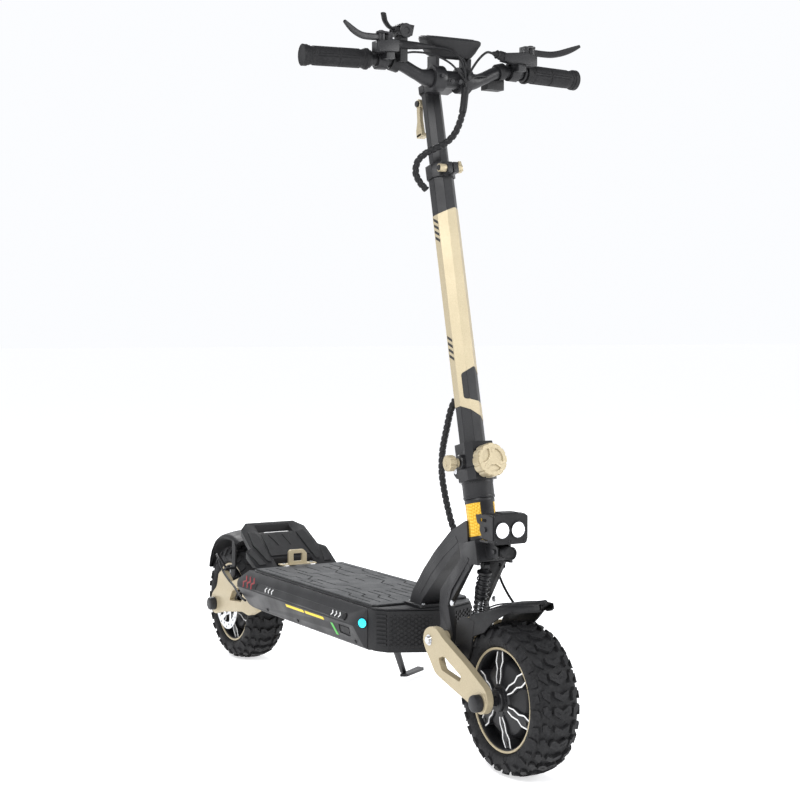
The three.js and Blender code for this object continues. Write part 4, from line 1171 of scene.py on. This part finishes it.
def neck():
    bm = bmesh.new()
    beam = [
        (-436, 374), (-432, 413), (-380, 389), (-326, 347), (-286, 309), (-248, 266), (-236, 240),
        (-272, 240), (-286, 257), (-329, 296), (-376, 337), (-417, 372),
    ]
    add_prism(bm, rounded(beam, 4, 2), "x", -29, 29)
    item = piece("neck_beam", bm, "frame", "black_metal", ["neck"], edge=6.5, segments=2)
    bore = bmesh.new()
    add_rod(bore, on_axis(330), on_axis(500), 24.2, 64)
    carve(item, bore)

    foot = bmesh.new()
    add_prism(foot, rounded(rectangle((-34, 34), (-285, -226)), 6), "z", 238.8, 244.5)
    piece("neck_foot", foot, "frame", "black_metal", edge=1.2)
    line = ribbon([(-400, 377), (-352, 345), (-310, 309), (-272, 268)], 13)
    ribs, bolts = bmesh.new(), bmesh.new()
    for side in (-1, 1):
        add_slab(ribs, line, side, 28.2, 29.9)
        for y in (-278, -234):
            hex_bolt(bolts, (side * 24, y, 244.4), (0, 0, 1), 3.6, 2.2)
    piece("neck_ribs", ribs, "frame", "black_metal", edge=1.0)
    piece("neck_bolts", bolts, "frame", "steel", sharp=40)


def head_tube():
    """The tube round the steering axis, with an amber film on each side."""
    collar = [
        (19.3, 387.3), (25.6, 387.3), (26.2, 388.5), (26.2, 393), (25, 394.5), (25, 451), (26, 452.3),
        (26, 457), (25.4, 458.3), (19.3, 458.3),
    ]
    tube = bmesh.new()
    add_lathe(tube, collar, on_axis(0), on_axis(1) - on_axis(0), 72, closed=True)
    piece("head_tube", tube, "frame", "black_metal", sharp=40)

    film = bmesh.new()
    for side in (-1, 1):
        rings = []
        for k in range(19):
            angle = math.radians(32 + 88 * k / 18)
            ring = []
            for radius, along in ((25.05, 394.8), (25.4, 394.8), (25.4, 451), (25.05, 451)):
                ring.append(Vector((side * radius * math.sin(angle), -radius * math.cos(angle), along)))
            rings.append(ring)
        skin(film, rings)
    piece("reflector_film", film, "frame", "reflector", sharp=60, matrix=STEM)


LEAN = 6.5
LEAN_FROM_X = 36
LEAN_Z = (280, 340)


def lean(bm):
    """Brings the outer faces of the fork's legs inwards towards their tops."""
    low, high = LEAN_Z
    for vert in bm.verts:
        share = min(max((vert.co.z - low) / (high - low), 0), 1)
        if abs(vert.co.x) > LEAN_FROM_X:
            vert.co.x -= math.copysign(LEAN * share, vert.co.x)


def fork():
    legs = cad_shape("fork")
    lean(legs)
    piece("fork_legs", legs, "steerer", "black_metal", ["fork"], edge=1.8, segments=3)
    panel = [(-444, 352), (-424, 326), (-392, 286), (-386, 262), (-394, 262), (-404, 290), (-452, 348)]
    details, bolts = bmesh.new(), bmesh.new()
    for side in (-1, 1):
        add_rod(details, (side * 41.0, -446, 334), (side * 42.6, -446, 334), 7.5, 32)
        hex_bolt(bolts, (side * 41.8, -408, 268), (side, 0, 0), 5.2, 2.6)
        add_slab(details, rounded(panel, 4), side, 41.4, 43.0)
    lean(details)
    piece("fork_panels", details, "steerer", "black_metal", edge=0.8)
    piece("fork_bolts", bolts, "steerer", "steel", sharp=40)


LAMP_Z = 404
LAMP_XS = (-16.6, 14.6)
LAMP_FACE_Y = -525


def headlight_case():
    case = bmesh.new()
    half_face = [(29, 380), (33, 384), (33, 426), (28, 431)]
    holes = [circle(x, LAMP_Z, 14.0, 40) for x in LAMP_XS]
    add_plate(case, rounded(symmetric(half_face), 2, 2), holes, "y", LAMP_FACE_Y, LAMP_FACE_Y + 21)
    piece("headlight_case", case, "steerer", "black_plastic", ["headlight"], edge=0.9)


def headlight_bracket():
    sides = [
        (-523, 387), (-523, 427), (-504, 430), (-470, 427), (-474, 414), (-484, 410), (-482, 402),
        (-492, 388),
    ]
    slot = rounded(rectangle((-504, -484), (417, 422)), 2)
    bracket, bolts = bmesh.new(), bmesh.new()
    for low, high in ((-35.2, -32.8), (32.8, 35.2)):
        add_plate(bracket, rounded(sides, 2, 2), [slot], "x", low, high)
    add_box(bracket, (-33, 33), (-506, -480), (381.5, 385.5))
    add_box(bracket, (-30, 30), (-504, -474), (425, 428))
    add_prism(bracket, [(-20, 427), (20, 427), (15, 433.5), (-15, 433.5)], "y", -522, -500)
    piece("headlight_bracket", bracket, "steerer", "black_metal", edge=0.7)
    for side in (-1, 1):
        hex_bolt(bolts, (side * 35.2, -500, LAMP_Z), (side, 0, 0), 4.2, 2.6)
    for x in LAMP_XS:
        for corner in (-1, 1):
            hex_bolt(bolts, (x + corner * 13.0, LAMP_FACE_Y, LAMP_Z - 19), (0, -1, 0), 1.8, 1.2)
    piece("headlight_bolts", bolts, "steerer", "black_metal", sharp=40)


def headlight_lenses():
    rim = [(13.2, -2), (13.2, 1.4), (13.9, 2.2), (15.2, 2.2), (15.2, -2)]
    dome = [(13.8, -14), (13.3, -1), (12.3, 0.9), (8.6, 2.3), (4.3, 2.9), (0, 3.1)]
    rims, lenses = bmesh.new(), bmesh.new()
    for x in LAMP_XS:
        add_lathe(rims, rim, (x, LAMP_FACE_Y, LAMP_Z), (0, -1, 0), 56, closed=True)
        add_lathe(lenses, dome, (x, LAMP_FACE_Y, LAMP_Z), (0, -1, 0), 56)
    piece("headlight_rims", rims, "steerer", "black_plastic", sharp=50)
    piece("headlight_lenses", lenses, "steerer", "lens", sharp=50)


HORN_X = -5


def horn():
    bm = bmesh.new()
    profile = [
        (0, 0), (8, 0), (8, 4), (10, 6), (10, 18), (9.2, 19), (9.2, 21), (10, 22), (10, 28),
        (11.5, 30), (11.5, 36), (10.8, 37), (9.6, 37), (8.6, 33.5), (2.4, 32), (0, 32),
    ]
    add_lathe(bm, profile, (HORN_X, -497, 366), (0, -1, 0), 56)
    piece("horn_body", bm, "steerer", "black_plastic", ["horn"], sharp=35)
    plate = rounded([(-512, 354), (-488, 354), (-488, 377), (-498, 380), (-514, 374)], 4)
    bracket, bolts = bmesh.new(), bmesh.new()
    for side in (-1, 1):
        low, high = sorted((HORN_X + side * 10.8, HORN_X + side * 13.4))
        add_prism(bracket, plate, "x", low, high)
        hex_bolt(bolts, (HORN_X + side * 13.2, -502, 366), (side, 0, 0), 4.4, 3.0)
    piece("horn_bracket", bracket, "steerer", "black_metal", edge=0.8)
    piece("horn_bolts", bolts, "steerer", "black_metal", sharp=40)


# ---------------------------------------------------------------- folding joint
KNOB_S = 518.5
LOCK_S = 522
LOCK_V = -6


def folding_joint():
    cad_piece("fold_lower", "fold_base", "steerer", "black_metal", 1.6)
    cad_piece("fold_upper", "fold_housing", "stem", "black_metal", 1.6)
    trim = bmesh.new()
    for low, high in ((461, 463), (486, 488)):
        band = rectangle((26, 27.8), (low, high))
        add_lathe(trim, band, (0, 0, 0), (0, 0, 1), 64, closed=True)
    piece("fold_collar_bands", trim, "steerer", "black_metal", matrix=STEM, sharp=50)
    boss = bmesh.new()
    profile = [(4.6, 0), (12.5, 0), (12.5, 7), (11, 8.6), (4.6, 8.6)]
    add_lathe(boss, profile, (-28.6, LOCK_V, LOCK_S + 1), (-1, 0, 0), 40, closed=True)
    piece("lock_boss", boss, "stem", "black_metal", matrix=STEM, sharp=40)
    cap = bmesh.new()
    for side in (-1, 1):
        hex_bolt(cap, (side * 23.6, 26, 512), (side, 0, 0), 5.4, 2.4)
    piece("hinge_caps", cap, "steerer", "steel", matrix=STEM, sharp=40)


def notched(a, b, radius, depth, lobes, steps=6):
    """A round outline with shallow notches round its edge."""
    points = []
    for i in range(lobes):
        for k in range(steps * 3):
            share = k / (steps * 3)
            angle = TURN * (i + share) / lobes
            dip = depth * max(0.0, math.cos(TURN * (share - 0.5)) - 0.45) / 0.55
            points.append(polar(radius - dip, angle, a, b))
    return points


def latch_knob():
    """A notched wheel with three curved windows, on a hub and a threaded shank."""
    disc = bmesh.new()
    add_prism(disc, notched(0, KNOB_S, 29, 1.5, 12), "y", -55.6, -38.2)
    windows = []
    for i in range(3):
        start = TURN * (i / 3 + 0.25) + 0.30
        arc = [(20.5, start + 1.49 * k / 8) for k in range(9)]
        near = [(9.0, start + 1.20 - 0.9 * k / 3) for k in range(4)]
        points = [polar(r, a, 0, KNOB_S) for r, a in arc + near]
        windows.append(rounded(points, 2, 2))
    add_plate(disc, notched(0, KNOB_S, 28.0, 1.4, 12), windows, "y", -58, -55.4)
    add_rod(disc, (0, -39, KNOB_S), (0, -31.2, KNOB_S), 10, 40)
    add_rod(disc, (0, -32, KNOB_S), (0, -15, KNOB_S), 5, 24)
    for i in range(3):
        angle = TURN * (i / 3 + 0.25)
        line = [polar(radius, angle, 0, KNOB_S) for radius in (12, 20)]
        add_prism(disc, ribbon(line, 3.0), "y", -58.6, -57.6)
    node = "latch_knob"
    piece("latch_knob_wheel", disc, node, "gold_paint", [node], edge=0.8, segments=3, matrix=STEM)


def lock_pin():
    pin = bmesh.new()
    add_prism(pin, notched(LOCK_V, LOCK_S, 14, 1.8, 8), "x", -60, -48)
    face = [(14, 0), (12, 1.6), (5, 1.8), (4, 0.6), (0, 0.6)]
    add_lathe(pin, face, (-59.6, LOCK_V, LOCK_S), (-1, 0, 0), 40)
    shank = [(9.5, 0), (8, 3), (8, 10), (4, 10.2), (4, 40)]
    add_lathe(pin, shank, (-49, LOCK_V, LOCK_S), (1, 0, 0), 32)
    piece("lock_pin_knob", pin, "lock_pin", "gold_paint", ["lock_pin"], edge=0.7, matrix=STEM)


# ---------------------------------------------------------------- stem
def octagon_rings(*levels):
    """Octagonal rings round the steering axis, from (half-width across flats, place along it) pairs."""
    rings = []
    for apothem, along in levels:
        outline = circle(0, 0, apothem / math.cos(math.pi / 8), 8, math.pi / 8)
        rings.append([Vector((a, b, along)) for a, b in outline])
    return rings


def stem_tube():
    """The stem's tube, and a thin layer of gold paint on it with shaped ends and a window."""
    tube = bmesh.new()
    walls = octagon_rings((21.1, 555.3), (21.1, 1052), (17.2, 1052), (17.2, 1000), (15.4, 990), (15.4, 555.3))
    skin(tube, walls, loop=True)
    piece("stem_core", tube, "stem", "black_metal", ["stem_tube"], edge=1.2, segments=3, matrix=STEM)

    sleeve = bmesh.new()
    skin(sleeve, octagon_rings((21.5, 572), (21.5, 982), (21.0, 982), (21.0, 572)), loop=True)
    item = piece("stem_paint", sleeve, "stem", "gold_paint", edge=0.9, matrix=STEM)
    ends = bmesh.new()
    # The paint's foot slopes from one side to the other, and its top is stepped.
    foot = [(-40, 560), (40, 560), (40, 580), (-40, 632)]
    head = [(-40, 1010), (40, 1010), (40, 972), (6, 972), (-40, 956)]
    add_prism(ends, foot, "y", -40, 40)
    add_prism(ends, head, "y", -40, 40)
    ends.transform(STEM)
    window = bmesh.new()
    add_prism(window, rounded([(-16, 632), (24, 622), (24, 672), (8, 688), (-16, 676)], 4), "y", -40, -6)
    window.transform(STEM)
    carve(item, ends, window)


def stem_marks():
    """Slanted bars on the stem's right side, in place of lettering."""
    marks = bmesh.new()
    for k in range(4):
        for base in (700, 912):
            low = base + 11 * k
            stripe = [(-7, low), (7, low + 9), (7, low + 14), (-7, low + 5)]
            add_prism(marks, stripe, "x", -21.62, -21.80)
    piece("stem_marks", marks, "stem", "black_metal", matrix=STEM)


def height_clamp():
    cad_piece("clamp_band", "height_clamp", "stem", "black_metal", 1.0)
    cad_piece("clamp_lever_arm", "clamp_lever", "clamp_lever", "gold_paint", 1.1)
    details = bmesh.new()
    add_lathe(details, [(0, 0), (4, 0), (4, 1.2), (5.6, 2), (0, 2)], (-25, -33, 1039.5), (1, 0, 0), 32)
    piece("clamp_nut_cap", details, "clamp_lever", "black_metal", matrix=STEM)


def inner_tube():
    tube = bmesh.new()
    skin(tube, octagon_rings((16.5, 760), (16.5, 1196), (13.5, 1196), (13.5, 760)), loop=True)
    lug = rounded([(14, 1168), (14, 1187), (30, 1186), (35, 1179), (30, 1171)], 3)
    add_prism(tube, lug, "x", -4.7, 4.7)
    node = "inner_tube"
    piece("inner_stem", tube, "upper_stem", "black_metal", [node], edge=1.3, segments=3, matrix=STEM)


HOOK_S = 1178.5
HOOK_V = 28


def folding_hook():
    hook = bmesh.new()
    outline = [(23, 1172), (34, 1172), (37, 1148), (45, 1132), (45, 1119), (26, 1119), (26, 1131), (27, 1148)]
    add_prism(hook, rounded(outline, 4), "x", -13, -5.3)
    add_rod(hook, (-13, HOOK_V, HOOK_S), (-5.3, HOOK_V, HOOK_S), 8.5, 40)
    add_box(hook, (-13, 3), (27, 45), (1119, 1125))
    add_rod(hook, (-16, HOOK_V, HOOK_S), (5, HOOK_V, HOOK_S), 3, 24)
    node = "folding_hook"
    piece("folding_hook_arm", hook, node, "gold_paint", [node], edge=1.1, segments=3, matrix=STEM)
    bolts = bmesh.new()
    hex_bolt(bolts, (-13, HOOK_V, HOOK_S), (-1, 0, 0), 5.6, 3.4)
    piece("folding_hook_bolt", bolts, node, "black_metal", matrix=STEM, sharp=40)


# ---------------------------------------------------------------- handlebar
BAR_Y = -325
BAR_Z = 1174.5
GRIP_INNER = (161, -319, 1198.5)
GRIP_OUTER = (279, -310.4, 1196.9)
HANDS = (("right", -1), ("left", 1))
BAR_HALF = [
    (46, -325, 1174.8), (68, -325, 1181), (92, -323.7, 1192), (114, -322.5, 1198.4), (138, -320.7, 1198.8),
    (161, -319, 1198.5), (200, -316.2, 1198), (240, -313.2, 1197.4), (274, -310.8, 1197),
]


def mirrored(point, side):
    return Vector((side * point[0], point[1], point[2]))


def path_length(path):
    return sum((b - a).length for a, b in zip(path, path[1:]))


def handlebar():
    points = [mirrored(point, -1) for point in reversed(BAR_HALF)]
    points += [Vector((0, BAR_Y, BAR_Z))] + [mirrored(point, 1) for point in BAR_HALF]
    path = smooth_path(points, 4)
    length = path_length(path)

    def thickness(run, _angle):
        from_middle = abs(run - length / 2)
        swell = 1 - min(max((from_middle - 40) / 26, 0), 1)
        return 11.1 + 4.6 * swell * swell * (3 - 2 * swell)

    bar = bmesh.new()
    add_tube(bar, path, thickness, 40)
    piece("bar_tube", bar, "upper_stem", "black_metal", ["handlebar"], sharp=50)


def grip_radius(run, angle):
    """Flanges at both ends, a waist in the middle, and four raised panels round the grip."""
    if run < 5 or run > 111:
        return 18.2
    if run < 9 or run > 106:
        return 16.6
    if run < 14 or run > 101 or 54 < run < 56:
        return 15.4
    panel = abs(((angle / TURN * 4) % 1) - 0.5)
    groove = 0.38 < panel < 0.42 or (panel <= 0.42 and (run < 19 or run > 96))
    return 15.7 if groove else 16.5


def grips():
    cap = [(17, 0), (18.2, 0.2), (18.4, 1.0), (17.2, 1.5), (15, 1.6), (14.5, 1.0), (0, 1.0)]
    collar = [(12.0, 0), (14.6, 0), (15.4, 1), (15.4, 4.6), (14.6, 5.6), (12.0, 5.6)]
    for name, side in HANDS:
        node = f"grip_{name}"
        inner, outer = mirrored(GRIP_INNER, side), mirrored(GRIP_OUTER, side)
        outward = (outer - inner).normalized()
        sleeve, end, ring = bmesh.new(), bmesh.new(), bmesh.new()
        add_tube(sleeve, [inner.lerp(outer, k / 118) for k in range(119)], grip_radius, 96)
        add_lathe(end, cap, outer - outward * 0.8, outward, 64)
        add_lathe(ring, collar, inner - outward * 6, outward, 56, closed=True)
        piece(f"{node}_sleeve", sleeve, "upper_stem", "rubber", [node], sharp=40)
        piece(f"{node}_end", end, "upper_stem", "rubber", sharp=35)
        piece(f"{node}_collar", ring, "upper_stem", "black_metal", sharp=40)


def bar_clamp():
    cad_piece("bar_clamp_body", "bar_clamp", "upper_stem", "black_metal", 1.4)
    bolts = bmesh.new()
    for x in (-27, -8, 8, 27):
        hex_bolt(bolts, (x, -349, 1176 if abs(x) > 20 else 1168), (0, -1, 0.1), 4.2, 3.2)
    piece("bar_clamp_bolts", bolts, "upper_stem", "black_metal", sharp=40)


def brake_lever(name, side):
    """A flat upright blade that sweeps out to a thin, raised tip, on a hub and pin."""
    route = [
        (152, -354, 1230.4), (163, -355, 1230), (174, -358, 1229), (190, -362, 1228.6), (203, -367, 1230.5),
        (216, -373, 1234.5), (229, -380, 1240), (238, -385, 1244.6),
    ]
    path = smooth_path([mirrored(point, side) for point in route], 2.5)
    length = path_length(path)

    def reach(run, angle):
        tip = min(max((run - length + 32) / 32, 0), 1)
        tall = 5.7 - 3.2 * tip * tip
        thick = 3.3 - 0.7 * tip
        return (abs(math.cos(angle) / thick) ** 3.2 + abs(math.sin(angle) / tall) ** 3.2) ** (-1 / 3.2)

    blade = bmesh.new()
    add_tube(blade, path, reach, 28)
    add_rod(blade, (side * 152, -354, 1225), (side * 152, -354, 1236), 7.5, 40)
    add_rod(blade, (side * 152, -354, 1214), (side * 152, -354, 1239.5), 2.6, 20)
    body = f"brake_lever_{name}"
    piece(f"{body}_blade", blade, body, "black_metal", [body], edge=0.5)


def brake_levers():
    for name, side in HANDS:
        brake_lever(name, side)


RESERVOIR_FOOT_Z = 1205.5
RESERVOIR_MIDDLE = Vector((0, -350, 1219))


def taper_reservoir(bm):
    """Narrows a brake perch's reservoir, from its middle to its end nearest the stem."""
    for vert in bm.verts:
        if vert.co.z > RESERVOIR_FOOT_Z:
            share = min(max((138 - abs(vert.co.x)) / 42, 0), 1)
            vert.co.z = RESERVOIR_MIDDLE.z + (vert.co.z - RESERVOIR_MIDDLE.z) * (1 - 0.42 * share)
            vert.co.y = RESERVOIR_MIDDLE.y + (vert.co.y - RESERVOIR_MIDDLE.y) * (1 - 0.35 * share)


def perches():
    """The right boot is long and lies along the bar; the left one is short and rises to the loom."""
    boots_by_side = {
        "right": ((-121, -350, 1222), (1, -0.02, 0.02), 76),
        "left": ((95, -350, 1220), (-1, -0.05, 0.16), 22),
    }
    for name, side in HANDS:
        node = f"brake_perch_{name}"
        body = cad_shape(node)
        taper_reservoir(body)
        piece(f"{node}_body", body, "upper_stem", "black_metal", [node], edge=1.3, segments=3)
        bolts, boot = bmesh.new(), bmesh.new()
        hex_bolt(bolts, (side * 152, -354, 1240), (0, 0, 1), 4.6, 2.0)
        hex_bolt(bolts, (side * 134, -342.5, 1198), (0, -1, 0), 3.4, 6)
        piece(f"{node}_bolts", bolts, "upper_stem", "black_metal", sharp=40)
        start, way, length = boots_by_side[name]
        profile = [(8.2, -4), (8.2, 6), (7.0, 8), (7.0, 11), (7.8, 12.5), (6.4, length * 0.55), (2.6, length)]
        add_lathe(boot, profile, start, way, 32)
        piece(f"{node}_boot", boot, "upper_stem", "cable", sharp=35)


def throttle():
    cad_piece("throttle_case", "throttle_housing", "upper_stem", "black_plastic", 1.2)
    disc = bmesh.new()
    face = [(12.4, -6), (12.4, 1.2), (11.0, 2.4), (6.0, 2.4), (5.4, 1.0), (0, 1.0)]
    add_lathe(disc, face, (-104, -355.4, 1246), (0, -1, 0), 48)
    piece("throttle_cover", disc, "upper_stem", "black_metal", sharp=35)
    trigger = bmesh.new()
    outline = [(-106.5, -350), (-106.5, -338), (-116, -336.5), (-124, -338.5), (-124, -352), (-112, -355)]
    add_prism(trigger, rounded(outline, 2), "z", 1243.7, 1251.7)
    route = [
        (-119, -345, 1247.5), (-134, -350, 1250), (-147, -359, 1257), (-153, -366, 1263),
        (-157, -371, 1267.5),
    ]
    flat = lambda run, angle: 1 / math.hypot(math.cos(angle) / 5.2, math.sin(angle) / 2.8)
    add_tube(trigger, smooth_path(route, 1.5), flat, 20)
    node = "throttle_trigger"
    piece("throttle_blade", trigger, node, "black_plastic", [node], edge=0.8)


def switch_pod():
    cad_piece("switch_pod_case", "switch_pod", "upper_stem", "black_plastic", 1.6)
    cad_piece("horn_button_cap", "horn_button", "horn_button", "orange_plastic", 1.4)
    keys = bmesh.new()
    for x in (107, 115):
        add_prism(keys, rounded(rectangle((x - 3, x + 3), (1171, 1188)), 1.5), "y", -294.4, -292.4)
    piece("switch_pod_keys", keys, "upper_stem", "rubber", edge=0.5)


def superellipse(a, b, power, steps=56):
    points = []
    for i in range(steps):
        angle = TURN * i / steps
        x, y = math.cos(angle), math.sin(angle)
        x = a * math.copysign(abs(x) ** (2 / power), x)
        y = b * math.copysign(abs(y) ** (2 / power), y)
        points.append((x, y))
    return points


def dashboard():
    """A shallow boat-shaped case with a dark glass top, tilted towards the rider."""
    tilt = Matrix.Translation((0, -328, 1246)) @ Matrix.Rotation(math.radians(11), 4, "X")
    levels = [
        (0, 0, 0.0), (48, 24, 0.9), (53.5, 29.5, 0.2), (56.5, 33, -2.2), (56.5, 33, -7), (53.5, 31, -12),
        (48, 28, -22), (41, 24, -31), (30, 18, -35.5), (0, 0, -36),
    ]
    case = bmesh.new()
    rings = []
    for a, b, height in levels:
        outline = superellipse(a, b, 3.0) if a else [(0, 0)]
        rings.append([Vector((x, y, height)) for x, y in outline])
    skin(case, rings, caps=False)
    piece("dash_case", case, "upper_stem", "black_plastic", ["dashboard"], sharp=28, matrix=tilt)
    glass = bmesh.new()
    add_prism(glass, superellipse(43, 20, 4.5), "z", 0.6, 1.8)
    piece("dash_screen", glass, "upper_stem", "screen", edge=0.5, segments=3, matrix=tilt)
    digits = bmesh.new()
    for x in (-24, -14, 14, 24):
        for y in (-6, 0, 6):
            add_prism(digits, rectangle((x - 3, x + 3), (y - 0.5, y + 0.5)), "z", 1.75, 1.9)
    piece("dash_marks", digits, "upper_stem", "lamp_cyan", matrix=tilt)


# ---------------------------------------------------------------- cables
UPPER_LOOM = [
    (20, -346, 1150), (19, -343, 1128), (15, -340, 1105), (7, -335, 1082), (-5, -330, 1067),
    (-20, -325, 1057), (-38, -317, 1048), (-52, -307, 1033), (-54, -302, 1012), (-45, -302, 995),
    (-33, -304, 983),
]
LOWER_LOOM = [
    (-8, -360, 615), (-12, -352, 596), (-14, -342, 565), (-14, -328, 525), (-12, -322, 485),
    (-8, -326, 447), (-4, -338, 405), (0, -349, 378),
]
REAR_CABLE = [
    (-121, 285, 176), (-119, 310, 179), (-112, 345, 184), (-103, 385, 191), (-97, 430, 200), (-92, 470, 213),
    (-88, 500, 232), (-82, 526, 240), (-71, 535, 232), (-61, 530, 212), (-57, 524, 191),
]


def wrapped(run, angle):
    """The radius of a bundle in spiral wrap: a flat strip wound with a gap."""
    phase = (run / 10.5 - angle / TURN) % 1
    edge = min(phase, 0.74 - phase) / 0.06
    return 4.9 + 1.15 * min(max(edge, 0), 1)


def cable_piece(name, points, body, radius, replaced=()):
    bm = bmesh.new()
    add_tube(bm, smooth_path(points, 3), radius, 14)
    return piece(name, bm, body, "cable", replaced, sharp=60)


def looms():
    upper = bmesh.new()
    add_tube(upper, smooth_path(UPPER_LOOM, 0.8), wrapped, 28)
    loom = piece("upper_loom_wrap", upper, None, "cable", ["upper_loom"], sharp=50)
    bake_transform(loom)

    path = smooth_path(LOWER_LOOM, 0.8)
    split = len(path) * 2 // 5
    first, second = bmesh.new(), bmesh.new()
    add_tube(first, path[: split + 3], wrapped, 28)
    shift = path_length(path[: split + 1])
    add_tube(second, path[split:], lambda run, angle: wrapped(run + shift, angle), 28)
    top = piece("lower_loom_upper_wrap", first, None, "cable", ["lower_loom"], sharp=50)
    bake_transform(top)
    bottom = piece("lower_loom_lower_wrap", second, None, "cable", ["lower_loom"], sharp=50)
    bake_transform(bottom)

    sleeve = bmesh.new()
    add_tube(sleeve, smooth_path([(21, -347, 1160), *UPPER_LOOM[:2], (17.5, -342, 1118)], 2), 6.6, 28)
    piece("upper_loom_sleeve", sleeve, "upper_stem", "cable", sharp=50)


def control_cables():
    gather = [(21, -347, 1168), (21, -347, 1156)]
    runs = {
        "cable_brake_right": (2.2, [(-44, -351, 1223), (-22, -355, 1221), (0, -358, 1210), (12, -355, 1190)]),
        "cable_throttle": (1.8, [
            (-106, -346, 1208), (-84, -350, 1212), (-50, -354, 1210), (-18, -357, 1198), (4, -354, 1182),
        ]),
        "cable_brake_left": (2.2, [(73, -351, 1223), (60, -353, 1223), (44, -353, 1210), (29, -350, 1188)]),
        "cable_switch": (1.8, [(90, -318, 1182), (70, -336, 1184), (48, -345, 1182), (30, -348, 1176)]),
        "cable_display": (1.8, [(8, -344, 1214), (14, -352, 1206), (18, -350, 1188)]),
    }
    for name, (radius, route) in runs.items():
        cable_piece(name, [*route, *gather], "upper_stem", radius)


def brake_hoses():
    rear = cable_piece("rear_brake_hose", REAR_CABLE, None, 2.4, ["rear_brake_cable"])
    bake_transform(rear)
    hose = [
        (44, -405, 335), (49, -430, 292), (52, -465, 262), (54, -503, 247), (56, -534, 234),
        (57, -546, 216), (56, -538, 195), (55, -520, 177), (54, -506, 168),
    ]
    front = cable_piece("front_brake_hose", hose, None, 2.2)
    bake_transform(front)


def hidden_nodes():
    """Inner pieces that stay as the frame made them, with their own finish."""
    looks = {
        "battery_pack": "battery",
        "motor_controller": "aluminium",
        "headset_bearing": "steel",
        "fold_pin": "steel",
    }
    for node, look in looks.items():
        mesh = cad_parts[node].data
        mesh.materials.clear()
        mesh.materials.append(LOOKS[look])


make_camera()
looms()
brake_hoses()
control_cables()
make_studio()
make_wheels()
make_running_gear()
front_fender()
rear_fender()
deck_tub()
deck_side_marks()
deck_stripes()
deck_lamps()
deck_top()
nose()
footrest()
latch_loop()
stand()
neck()
head_tube()
fork()
headlight_case()
headlight_bracket()
headlight_lenses()
horn()
folding_joint()
latch_knob()
lock_pin()
stem_tube()
stem_marks()
height_clamp()
inner_tube()
folding_hook()
handlebar()
grips()
bar_clamp()
brake_levers()
perches()
throttle()
switch_pod()
dashboard()
hidden_nodes()
